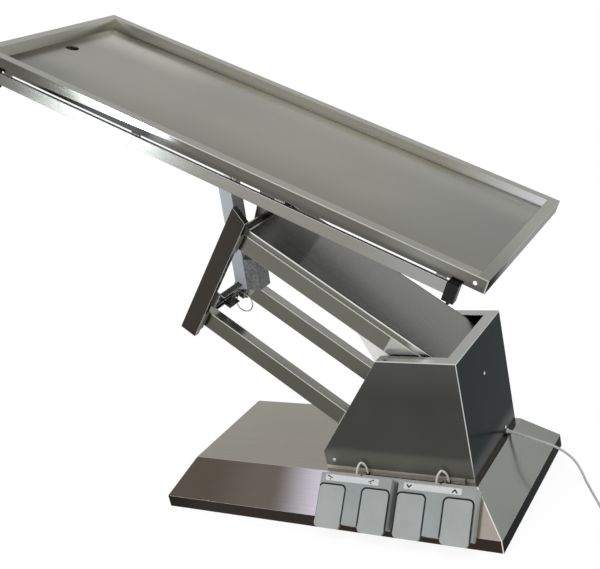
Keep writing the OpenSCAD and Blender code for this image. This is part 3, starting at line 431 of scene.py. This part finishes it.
def tray_wall_zones(made, at, facing, look):
    """Painted reflections make the far wall pale at both ends and turn the wall at the high end pale to
    the far side.
    """
    x, y, _ = at
    half_w = TRAY_W / 2 - RIM_W
    far_wall = made.both(toward_viewer(made, facing), made.past(y, half_w - 9, half_w - 4))
    # Painted reflections on the far wall.
    look.paint(rgb(137, 135, 124), far_wall)
    look.paint(rgb(206, 208, 208), far_wall, made.past(x, 360, 740))
    look.paint(rgb(118, 117, 107), far_wall, made.until(x, -600, -460))
    look.paint(rgb(168, 167, 156), far_wall, made.until(x, -700, -620))
    high_wall = made.both(made.between(facing[0], 0, 1, *NEARLY), made.until(x, -600, -500))
    # Painted reflections on the wall at the high end.
    look.paint(rgb(142, 142, 133), high_wall)
    look.paint(rgb(182, 182, 173), high_wall, made.past(y, 20, 240))


def tray_skirt_zones(made, at, facing, look):
    """The near skirt mirrors a lamp, with a painted highlight above a slanted line and a painted dark
    reflection below it; the low end is painted in shade, and painted highlights run along the tops.
    """
    x, y, z = at
    skirt = made.both(toward_viewer(made, facing), made.until(y, 5 - TRAY_W / 2, 15 - TRAY_W / 2))
    # Painted reflections on the near skirt: paler to the low end, darker at the high end and along the
    # bottom.
    look.paint(rgb(134, 135, 130), skirt, made.band(x, 500, 640, 90))
    look.paint(rgb(88, 86, 80), skirt, made.until(x, -620, -460))
    look.paint(rgb(90, 88, 82), skirt, made.until(z, -30, -14))
    # Painted highlight above the slanted line and painted dark reflection below it.
    slanted = made.math("SUBTRACT", z, made.math("MULTIPLY", x, 0.0325))
    line = (-11.7, -9.6)
    look.paint(rgb(240, 240, 242), skirt, made.past(slanted, *line), made.band(x, -280, -120, 50))
    look.paint(rgb(27, 26, 25), skirt, made.until(slanted, *line), made.band(x, -520, -140, 40),
               tint=grey(0.2))
    look.rough = made.math("MULTIPLY", skirt, -0.1)
    # Painted shade on the low end.
    low_end = made.both(made.between(facing[0], 0, 1, *NEARLY),
                        made.past(x, TRAY_L / 2 - 11, TRAY_L / 2 - 6))
    end_tint = made.mix(made.past(y, -280, -100), grey(0.03), grey(0.66))
    look.paint(rgb(60, 60, 58), low_end, tint=end_tint)
    # Painted highlights along the tops of the skirt and low end and down the skirt's low corner.
    top_line = made.both(made.most(skirt, low_end), made.edge(z, 0, 3.6, 1), made.past(x, -460, -300))
    corner = made.both(skirt, made.edge(x, TRAY_L / 2, 3.5, 1))
    look.paint(rgb(186, 186, 180), made.most(top_line, corner))


def tray_zones(made, at, facing, look):
    tray_floor_zones(made, at, facing, look)
    tray_wall_zones(made, at, facing, look)
    tray_skirt_zones(made, at, facing, look)


def rail_zones(made, at, facing, look):
    """Painted reflections turn the side rails paler to the low end and darker to the high one."""
    side = toward_viewer(made, facing)
    look.paint(rgb(158, 159, 155), side, made.past(at[0], 350, 600))
    look.paint(rgb(108, 106, 101), side, made.until(at[0], -620, -440))


def arm_zones(made, at, facing, look):
    """Each arm's side takes a painted reflection, paler at the housing, and a painted highlight runs along
    its upper edge.
    """
    x, _, z = at
    sides = along_sides(made, facing)
    look.paint(rgb(176, 176, 172), sides, made.past(x, -133, -129))
    look.paint(rgb(196, 196, 188), sides, made.band(z, 22.2, 26.2, 0.4))


def cover_zones(made, at, facing, look):
    """A painted reflection of the head darkens the upper end of the panel, a dark line is painted along
    the panel's side edges, and its sides take painted reflections with a painted highlight along their
    upper edge.
    """
    x, y, z = at
    sides = along_sides(made, facing)
    slanted = made.math("ADD", x, made.math("MULTIPLY", y, 0.184))
    # Painted reflection of the head on the panel's upper end.
    look.paint(rgb(90, 90, 86), made.until(slanted, -452, -444))
    look.paint(rgb(112, 112, 108), made.until(slanted, -600, -500))
    look.paint(rgb(62, 62, 58), made.edge(made.math("ABSOLUTE", y), COVER_HALF, 4.6, 0.6))
    # Painted reflections on the sides, with a painted highlight along their upper edge.
    look.paint(rgb(112, 113, 105), sides)
    look.paint(rgb(196, 197, 193), sides, made.past(x, -95, -60))
    look.paint(rgb(226, 226, 222), sides, made.past(z, 37.6, 38.4))


def brushed(name, side, top, rough, grain=(4, 900, 900), turn=LEVEL, rise=(0.1, 0.95), smudge=0.16,
            under=None, zones=None, origin=(0, 0, 0)):
    """Satin steel: fine grain and faint smudges; faces that look up are painted paler than upright ones, a
    painted light, and faces that look down may take the under colour, a painted reflection of the floor.
    """
    made = Shader(name, Metallic=1.0)
    facing = made.parts(made.turned("Normal", turn))
    # Painted light: the paler top colour on faces that look up, the side colour on upright ones.
    colour = made.mix(made.between(facing[2], 0, 1, *rise), side, top)
    # Painted reflection of the pale floor on faces that look down.
    if under is not None:
        colour = made.mix(made.between(facing[2], 1, 0, -0.6, -0.4), colour, under)
    look = Look(made, colour)
    if zones is not None:
        zones(made, made.parts(made.turned("Object", turn, origin)), facing, look)
    lines = made.noise(1.0, grain, turn, 2)
    cloud = made.varied(made.noise(3.5, detail=4), 1 - smudge, 1 + smudge)
    shade = made.both(cloud, made.varied(lines, 0.965, 1.035))
    uneven = made.add("ShaderNodeCombineColor", Red=shade, Green=shade, Blue=shade).outputs[0]
    roughness = made.between(lines, rough - 0.02, rough + 0.03, 0.25, 0.75)
    return made.finish(Base_Color=made.mix(1.0, look.colour, uneven, "MULTIPLY"),
                       Specular_Tint=look.tint, Roughness=made.math("ADD", roughness, look.rough),
                       Normal=made.bump(lines, 0.01, 0.15))


def polished(name, colour, rough):
    """Bright steel with fine scratches."""
    made = Shader(name, Metallic=1.0)
    scratch = made.noise(400, (1, 1, 0.1), detail=2)
    worn = made.between(scratch, 0.0, 0.35, 0.4, 0.8)
    return made.finish(Base_Color=made.mix(worn, colour, rgb(120, 120, 118)),
                       Roughness=made.between(scratch, rough, rough + 0.1))


def moulded(name, colour, rough, pebble, scale, spread, gloss=0.5):
    """Moulded plastic or powder coat: fine pebble and a little uneven colour."""
    made = Shader(name, Specular_IOR_Level=gloss)
    pebbles = made.noise(scale, detail=2)
    cloud = made.noise(14, detail=3)
    dark = tuple(v * (1 - spread * 1.6) for v in colour[:3]) + (1,)
    light = tuple(min(1, v * (1 + spread)) for v in colour[:3]) + (1,)
    return made.finish(Base_Color=made.mix(made.varied(cloud), dark, light),
                       Roughness=made.varied(pebbles, rough - 0.06, rough + 0.08),
                       Normal=made.bump(pebbles, pebble, 0.6))


def pad_distance(made):
    """Distance outside the nearest foot pad's outline, and the place in the frame of the front slope."""
    at = made.parts(made.turned("Object", SLOPE_TURN, SLOPE_AT))
    asides = [made.math("ABSOLUTE", made.math("SUBTRACT", at[0], x * MM)) for x in PAD_MIDS]
    aside = asides[0]
    for other in asides[1:]:
        aside = made.math("MINIMUM", aside, other)
    along = made.math("ABSOLUTE", made.math("SUBTRACT", at[1], PAD_MID_Y * MM))
    over_x = made.most(made.math("SUBTRACT", aside, (PAD_HALF[0] - PAD_ROUND) * MM), 0.0)
    over_y = made.most(made.math("SUBTRACT", along, (PAD_HALF[1] - PAD_ROUND) * MM), 0.0)
    square = made.math("ADD", made.math("POWER", over_x, 2.0), made.math("POWER", over_y, 2.0))
    return made.math("SUBTRACT", made.math("SQRT", square), PAD_ROUND * MM), at


def satin_plastic(made, darker, lighter, shaded, shade, rough, pebble, scale):
    """Satin plastic, finished with the colour of shade where the mask of shaded places says so."""
    fine = made.noise(scale, detail=2)
    plain = made.mix(made.varied(made.noise(14)), darker, lighter)
    return made.finish(Base_Color=made.mix(shaded, plain, shade),
                       Roughness=made.varied(fine, *rough),
                       Normal=made.bump(fine, pebble, 0.6))


def switch_plastic():
    """Foot switch housing, in shade round the wells of its pads."""
    made = Shader("switch_plastic")
    outside, at = pad_distance(made)
    shaded = made.both(made.until(outside, 3, 4.6), made.past(at[1], -150, -140))
    return satin_plastic(made, rgb(158, 163, 160), rgb(166, 171, 168), shaded, rgb(62, 65, 64),
                         rough=(0.36, 0.5), pebble=0.03, scale=1100)


def pad_plastic():
    """Foot pad, whose rim and flanks to the upper and right sides lie in the shade of its well."""
    made = Shader("pad_plastic")
    facing = made.parts(made.turned("Normal", SLOPE_TURN))
    flank = made.most(made.between(facing[1], 0, 1, 0.15, 0.7), made.between(facing[0], 0, 1, 0.35, 0.9))
    outside, at = pad_distance(made)
    rim = made.both(made.past(outside, -1.8, -0.6), made.past(at[1], -140, -125))
    return satin_plastic(made, rgb(170, 174, 170), rgb(177, 181, 178), made.most(flank, rim),
                         rgb(58, 61, 60), rough=(0.4, 0.54), pebble=0.06, scale=900)


def tilt_drive():
    """The tilt actuator: light alloy profile whose right-hand face carries a coarse cast grain and is
    painted dark, a painted shade.
    """
    made = Shader("tilt_actuator_skin")
    at = made.parts(made.turned("Object", (0, radians(90 - TILT_LEAN), 0), TILT_TAIL))
    # Painted shade on the right-hand face, which also carries a coarse cast grain.
    shaded_cast_face = made.past(at[0], 18.8, 19.2)
    cast = made.noise(160, detail=2)
    fine = made.noise(700, detail=2)
    profile = made.mix(made.varied(fine), rgb(206, 209, 213), rgb(220, 223, 227))
    shaded_cast_colour = made.mix(made.varied(cast), rgb(112, 114, 113), rgb(146, 148, 147))
    coarse = made.bump(made.both(cast, shaded_cast_face), 0.4, 0.6)
    return made.finish(Base_Color=made.mix(shaded_cast_face, profile, shaded_cast_colour), Roughness=made.between(shaded_cast_face, 0.38, 0.5),
                       Normal=made.bump(fine, 0.04, 0.5, coarse))


# How the grain of brushed steel is stretched along a piece's X, Y and Z
BASE_GRAIN, UPRIGHT_GRAIN, TUBE_GRAIN = (5, 500, 500), (700, 700, 5), (4, 800, 800)

# The side and top colours of each steel below are painted light: tops are painted paler than upright
# faces.
MATERIALS = {
    "base": brushed("base_cover_steel", rgb(50, 43, 39), rgb(136, 132, 123), rough=0.17,
                    grain=BASE_GRAIN, smudge=0.05, zones=base_zones),
    "housing": brushed("housing_steel", rgb(66, 67, 63), rgb(150, 151, 149), rough=0.18,
                       grain=UPRIGHT_GRAIN, smudge=0.06, zones=housing_zones),
    "strip": brushed("strip_steel", rgb(120, 116, 108), rgb(150, 147, 140), rough=0.2, smudge=0.05),
    "tray": brushed("tray_steel", rgb(104, 102, 94), rgb(130, 130, 121), rough=0.2, turn=TRAY_TURN,
                    rise=(0.2, 0.85), smudge=0.04, under=UNDER_FLOOR_REFLECTION, zones=tray_zones,
                    origin=TRAY_MID),
    "rail": brushed("rail_steel", rgb(140, 138, 131), rgb(180, 180, 180), rough=0.2, turn=TRAY_TURN,
                    smudge=0.06, zones=rail_zones, origin=TRAY_MID),
    "arm": brushed("upper_arm_steel", rgb(108, 107, 99), rgb(190, 190, 183), rough=0.2,
                   grain=TUBE_GRAIN, turn=ARM_TURN, smudge=0.06, zones=arm_zones, origin=HIGH_PIVOT),
    # The lower and far arms take darker copies of the upper arm's steel, as painted shade.
    "low_arm": brushed("lower_arm_steel", rgb(90, 90, 82), rgb(134, 134, 127), rough=0.2,
                       grain=TUBE_GRAIN, turn=ARM_TURN, smudge=0.06, zones=arm_zones,
                       origin=LOW_PIVOT),
    "far_arm": brushed("far_arm_steel", rgb(98, 98, 90), rgb(134, 134, 128), rough=0.2,
                       grain=TUBE_GRAIN, turn=ARM_TURN, smudge=0.06, zones=arm_zones,
                       origin=LOW_PIVOT),
    # Near-white gusset steel: a painted reflection.
    "gusset": brushed("gusset_steel", rgb(218, 218, 214), rgb(222, 222, 218), rough=0.24,
                      grain=TUBE_GRAIN, turn=ARM_TURN, smudge=0.08),
    "cover": brushed("cover_panel_steel", rgb(96, 96, 94), rgb(120, 120, 117), rough=0.27,
                     grain=TUBE_GRAIN, turn=ARM_TURN, smudge=0.04, zones=cover_zones,
                     origin=HIGH_PIVOT),
    "post": brushed("post_steel", rgb(60, 57, 52), rgb(92, 90, 86), rough=0.2,
                    grain=TUBE_GRAIN, turn=POST_TURN, smudge=0.1),
    "channel": brushed("channel_steel", rgb(104, 103, 98), rgb(120, 120, 115), rough=0.3,
                       grain=TUBE_GRAIN, turn=POST_TURN, smudge=0.1),
    "frame": brushed("frame_steel", rgb(160, 160, 156), rgb(160, 160, 156), rough=0.26,
                     grain=TUBE_GRAIN, turn=TRAY_TURN, under=UNDER_FLOOR_REFLECTION),
    "cheek": brushed("cheek_steel", rgb(108, 106, 102), rgb(130, 130, 126), rough=0.24,
                     grain=TUBE_GRAIN, turn=TRAY_TURN, under=UNDER_FLOOR_REFLECTION),
    "inside": brushed("inner_steel", rgb(96, 96, 94), rgb(120, 120, 118), rough=0.32),
    "bright": polished("bright_steel", rgb(205, 206, 206), rough=0.14),
    # Pale steel on the rolled edges of sheet parts: a painted highlight.
    "edge": polished("edge_highlight_steel", rgb(226, 226, 220), rough=0.2),
    "casing": moulded("actuator_casing", rgb(188, 190, 192), rough=0.4, pebble=0.04, scale=700,
                      spread=0.05),
    "tilt_drive": tilt_drive(),
    "switch": switch_plastic(),
    "pad": pad_plastic(),
    "label": moulded("label_sheet", rgb(226, 227, 224), rough=0.35, pebble=0.01, scale=500,
                     spread=0.02),
    "ink": moulded("label_ink", rgb(26, 28, 30), rough=0.4, pebble=0.01, scale=500, spread=0.05,
                   gloss=0.2),
    "nylon": moulded("post_pad_nylon", rgb(120, 118, 110), rough=0.5, pebble=0.04, scale=700,
                     spread=0.06, gloss=0.3),
    "black": moulded("black_plastic", rgb(14, 14, 14), rough=0.42, pebble=0.04, scale=900,
                     spread=0.1, gloss=0.25),
    "stop": moulded("stop_plastic", rgb(14, 14, 15), rough=0.42, pebble=0.04, scale=900,
                    spread=0.1, gloss=0.25),
    "rubber": moulded("rubber", rgb(22, 22, 22), rough=0.7, pebble=0.06, scale=800, spread=0.1,
                      gloss=0.2),
    "sheath": moulded("lead_sheath", rgb(206, 207, 204), rough=0.5, pebble=0.02, scale=700,
                      spread=0.03),
    "lead": moulded("switch_lead_sheath", rgb(232, 229, 220), rough=0.5, pebble=0.02, scale=700,
                    spread=0.04),
    "board": moulded("circuit_board", rgb(24, 90, 52), rough=0.4, pebble=0.02, scale=900, spread=0.1),
}

NODE_LOOKS = {
    "base": ["base_cover"],
    "housing": ["housing_shell"],
    "strip": ["switch_strip"],
    "tray": ["tray_pan", "drain_spout"],
    "rail": ["rail_near", "rail_far", "rail_tabs", "rail_screws"],
    "arm": ["upper_arm_near", "upper_arm_far"],
    "gusset": ["arm_gussets"],
    "low_arm": ["lower_arm_near"],
    "far_arm": ["lower_arm_far"],
    "cover": ["arm_cover"],
    "post": ["post_near", "post_far"],
    "channel": ["head_channel"],
    "frame": ["frame_beam_near", "frame_beam_far", "frame_crosses", "rod_lugs"],
    "cheek": ["tilt_bracket"],
    "inside": ["base_plate", "base_ribs", "pivot_plates", "lift_bracket", "upper_bushes", "lower_bushes",
               "head_shafts"],
    "bright": ["base_shafts", "lift_bracket_pin", "lever_pin", "tail_pin", "rod_pin", "ring_clip",
               "housing_screws", "switch_pins", "lift_rod", "tilt_rod"],
    "nylon": ["post_pads"],
    "casing": ["lift_actuator"],
    "tilt_drive": ["tilt_actuator"],
    "switch": ["switch_unit_tilt", "switch_unit_lift"],
    "pad": ["pad_tilt_left", "pad_tilt_right", "pad_lift_down", "pad_lift_up"],
    "label": ["switch_labels"],
    "sheath": ["cord_gland"],
    "black": ["control_box", "power_plug"],
    "stop": ["rail_stops"],
    "rubber": ["lead_grommets"],
    "lead": ["switch_leads"],
    "board": ["control_board"],
}

# Width of the rolled edges by look, and thickness of the soft skin by node
BEVELS = {"base": 2.4, "housing": 2.2, "tray": 1.6, "rail": 0.9, "arm": 2.6, "low_arm": 2.6,
          "far_arm": 2.6, "gusset": 0.8, "cover": 1.6, "post": 2.0, "channel": 0.8, "frame": 1.0,
          "cheek": 1.0, "strip": 0.8, "switch": 3.0, "pad": 3.0, "casing": 2.0, "tilt_drive": 2.0,
          "black": 1.0, "stop": 4.0}
JACKETS = {"switch_leads": 0.6, "ring_clip": 0.4}
# Looks whose rolled edges take the pale edge steel, a painted highlight.
HIGHLIGHT_EDGES = ("base", "housing", "arm", "low_arm", "far_arm", "cover", "post", "channel",
                "frame", "cheek")


def weld_corners(piece):
    """The CAD mesh has its corners apart at each face, so they are joined first."""
    weld = piece.modifiers.new("weld", "WELD")
    weld.merge_threshold = 0.02 * MM


def roll_edges(piece, width, bright):
    weld_corners(piece)
    plain = piece.modifiers.new("plain_faces", "DECIMATE")
    plain.decimate_type = "DISSOLVE"
    plain.angle_limit = radians(0.5)
    roll = piece.modifiers.new("rolled_edges", "BEVEL")
    roll.width = width * MM
    roll.segments = 2
    roll.limit_method = "ANGLE"
    roll.angle_limit = radians(35)
    # The rolled edges take the pale edge steel as a painted highlight.
    if bright:
        piece.data.materials.append(MATERIALS["edge"])
        roll.material = 1
    flat = piece.modifiers.new("flat_faces", "WEIGHTED_NORMAL")
    flat.weight = 100


def put_jacket(piece, thickness):
    """A thin wire or cable is thickened and rounded."""
    weld_corners(piece)
    jacket = piece.modifiers.new("jacket", "DISPLACE")
    jacket.mid_level = 0
    jacket.strength = thickness * MM
    round_off = piece.modifiers.new("round", "SUBSURF")
    round_off.levels = round_off.render_levels = 1


def dress_cad():
    """Every CAD node gets its material, and sheet parts get their rolled edges."""
    for look, names in NODE_LOOKS.items():
        for name in names:
            piece = nodes[name]
            piece.data.materials.clear()
            piece.data.materials.append(MATERIALS[look])
            if look in BEVELS:
                roll_edges(piece, BEVELS[look], look in HIGHLIGHT_EDGES)
            elif name in JACKETS:
                put_jacket(piece, JACKETS[name])


# Detail pieces

def add_mesh(name, points, faces, look, body, slot, *replaced, smooth=True):
    data = bpy.data.meshes.new(name)
    data.from_pydata([Vector(p) * MM for p in points], [], faces)
    data.validate()
    if smooth:
        data.shade_smooth()
    else:
        data.shade_flat()
    piece = bpy.data.objects.new(name, data)
    bpy.context.scene.collection.objects.link(piece)
    data.materials.append(MATERIALS[look])
    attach(piece, body)
    if replaced:
        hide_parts(*replaced)
    return piece


def join_forms(forms):
    points, faces = [], []
    for some_points, some_faces in forms:
        start = len(points)
        points += some_points
        faces += [tuple(i + start for i in face) for face in some_faces]
    return points, faces


def lathe(profile, turn, hexagon, steps=24):
    """Turned form about local Z; profile rings listed in hexagon are drawn six-sided."""
    points, faces = [], []
    for ring, (radius, height) in enumerate(profile):
        for k in range(steps):
            angle = 2 * pi * k / steps
            reach = radius
            if ring in hexagon:
                reach = radius * cos(pi / 6) / cos(angle % (pi / 3) - pi / 6)
            points.append(turn @ Vector((reach * cos(angle), reach * sin(angle), height)))
    for ring in range(len(profile) - 1):
        for k in range(steps):
            a, b = ring * steps + k, ring * steps + (k + 1) % steps
            faces.append((a, b, b + steps, a + steps))
    faces.append(tuple(range(steps))[::-1])
    faces.append(tuple(range((len(profile) - 1) * steps, len(profile) * steps)))
    return points, faces


SCREW_R, WALL_SCREW_R, SCREW_H = 6, 4.5, 3
SCREW_IN = 28
SIDE_SCREWS = [(-1, SCREW_IN), (1, SCREW_IN), (1, HOUSING_RIGHT - SCREW_IN)]
WALL_SCREWS = [(-3, 350), (82, 148)]

# Head of a screw from its seat over its crown into its socket, as shares of its radius and height
SCREW_PROFILE = [(1, 0), (1, 0.35), (0.9, 0.72), (0.66, 1), (0.5, 1), (0.46, 0.96), (0.44, 0.35)]
SOCKET_RINGS = (4, 5, 6)


def screw_form(place, axis, radius, height):
    """Round-headed screw with a six-sided socket, standing on place along axis."""
    turn = Matrix.Translation(place) @ Vector(axis).to_track_quat("Z", "Y").to_matrix().to_4x4()
    return lathe([(radius * r, height * h) for r, h in SCREW_PROFILE], turn, SOCKET_RINGS)


def add_screws():
    """Screws low on the housing's two sides, given by side and X, and on its right wall, by Y and Z."""
    forms = [screw_form((x, side * HOUSING_HALF, BASE_H + SCREW_IN), (0, side, 0), SCREW_R, SCREW_H)
             for side, x in SIDE_SCREWS]
    forms += [screw_form((HOUSING_RIGHT, y, z), (1, 0, 0), WALL_SCREW_R, SCREW_H)
              for y, z in WALL_SCREWS]
    points, faces = join_forms(forms)
    piece = add_mesh("housing_screw_heads", points, faces, "bright", "base", "bright_steel",
                     "housing_screws")
    piece.data.set_sharp_from_angle(angle=radians(40))


# Symbols on the foot switches' labels, which lie on the front slope
SLOPE = Matrix.Translation(SLOPE_AT) @ Matrix.Rotation(SLOPE_ANGLE, 4, "X")
LABEL_TOP, INK = PAD_TOP + 0.4, 0.12
SYMBOL_ROW = -20
LIFT_SYMBOLS = ((263, -1), (386, 1))
TILT_SYMBOLS = ((37, 1), (156, -1))


def flat_form(outline):
    """Thin flat piece of ink with the outline given, lying on the label."""
    n = len(outline)
    points = [SLOPE @ Vector((p[0], p[1], z)) for z in (LABEL_TOP, LABEL_TOP + INK) for p in outline]
    sides = [(k, (k + 1) % n, (k + 1) % n + n, k + n) for k in range(n)]
    return points, [tuple(range(n))[::-1], tuple(range(n, 2 * n))] + sides


def stroke(a, b, width):
    """Flat bar with square ends from a to b."""
    along = (Vector(b) - Vector(a)).normalized() * width / 2
    side = Vector((-along.y, along.x))
    a, b = Vector(a) - along, Vector(b) + along
    return flat_form([a - side, b - side, b + side, a + side])


def lift_symbol(x, up):
    """Arrow head that points up or down the slope."""
    low, high = SYMBOL_ROW - up * 3, SYMBOL_ROW + up * 3
    return [stroke((x - 5.5, low), (x, high), 3.4), stroke((x, high), (x + 5.5, low), 3.4)]


def tilt_symbol(x, side):
    """Tilted table top on its pivot, with an arrow head over its raised end."""
    y = SYMBOL_ROW
    tip = [(x - side * 9, y + 1), (x - side * 8, y + 6.5), (x - side * 3.5, y + 5)]
    return [stroke((x - side * 6, y + 4), (x + side * 6, y - 1), 2.4),
            flat_form([(x - 2.5, y - 5.5), (x + 2.5, y - 5.5), (x, y - 0.5)]),
            flat_form(tip[::side])]


def add_symbols():
    forms = [form for x, up in LIFT_SYMBOLS for form in lift_symbol(x, up)]
    forms += [form for x, side in TILT_SYMBOLS for form in tilt_symbol(x, side)]
    points, faces = join_forms(forms)
    add_mesh("switch_symbols", points, faces, "ink", "base", "black_plastic", smooth=False)


# Floor, light and background, with places in metres

FLOOR_HALF = 40
FLOOR_WHITE, FLOOR_SHARE = 1.06, 0.85
WORLD_LIGHT = 0.72


def add_floor():
    """Pale floor that keeps the shadow; camera, gloss and glass see it white."""
    data = bpy.data.meshes.new("floor")
    corners = [(x * FLOOR_HALF, y * FLOOR_HALF, 0) for x, y in ((-1, -1), (1, -1), (1, 1), (-1, 1))]
    data.from_pydata(corners, [], [(0, 1, 2, 3)])
    floor_piece = bpy.data.objects.new("floor", data)
    bpy.context.scene.collection.objects.link(floor_piece)
    made = Shader("floor_white", Base_Color=grey(0.95), Roughness=0.9)
    share = made.both(made.seen(), FLOOR_SHARE)
    white = made.add("ShaderNodeEmission", Color=grey(1), Strength=FLOOR_WHITE)
    blend = made.add("ShaderNodeMixShader", _0=share, _1=made.surface.outputs[0], _2=white.outputs[0])
    made.join(blend.outputs[0], made.tree.nodes["Material Output"].inputs[0])
    data.materials.append(made.material)


def add_world():
    """White where the camera sees it, and a plain pale light to all else."""
    world = bpy.data.worlds.new("studio")
    bpy.context.scene.world = world
    world.use_nodes = True
    world.node_tree.nodes.clear()
    made = Graph(world.node_tree)
    light = made.add("ShaderNodeBackground", Color=(0.95, 0.97, 1, 1), Strength=WORLD_LIGHT)
    white = made.add("ShaderNodeBackground", Color=grey(1), Strength=1.0)
    blend = made.add("ShaderNodeMixShader", _0=made.seen(), _1=light.outputs[0], _2=white.outputs[0])
    made.add("ShaderNodeOutputWorld", Surface=blend.outputs[0])


def add_lamp(name, place, target, size, power, colour=(1, 1, 1)):
    data = bpy.data.lights.new(name, "AREA")
    data.shape = "RECTANGLE"
    data.size, data.size_y = size
    data.energy = power
    data.color = colour
    lamp = bpy.data.objects.new(name, data)
    lamp.location = place
    lamp.rotation_euler = (Vector(target) - Vector(place)).to_track_quat("-Z", "Y").to_euler()
    bpy.context.scene.collection.objects.link(lamp)


add_camera()
lead = add_cord()
lead.data.materials.append(MATERIALS["sheath"])
dress_cad()
add_screws()
add_symbols()
add_floor()
add_world()
add_lamp("overhead", place=(0.4, -0.8, 4.0), target=(0, 0, 0.6), size=(2.4, 2.4), power=38)
add_lamp("front_left", place=(-2.94, -3.2, 0.76), target=(0, 0, 0.9), size=(0.38, 0.7), power=11.5,
         colour=(0.8, 0.9, 1))

bpy.context.scene.view_settings.view_transform = "Standard"
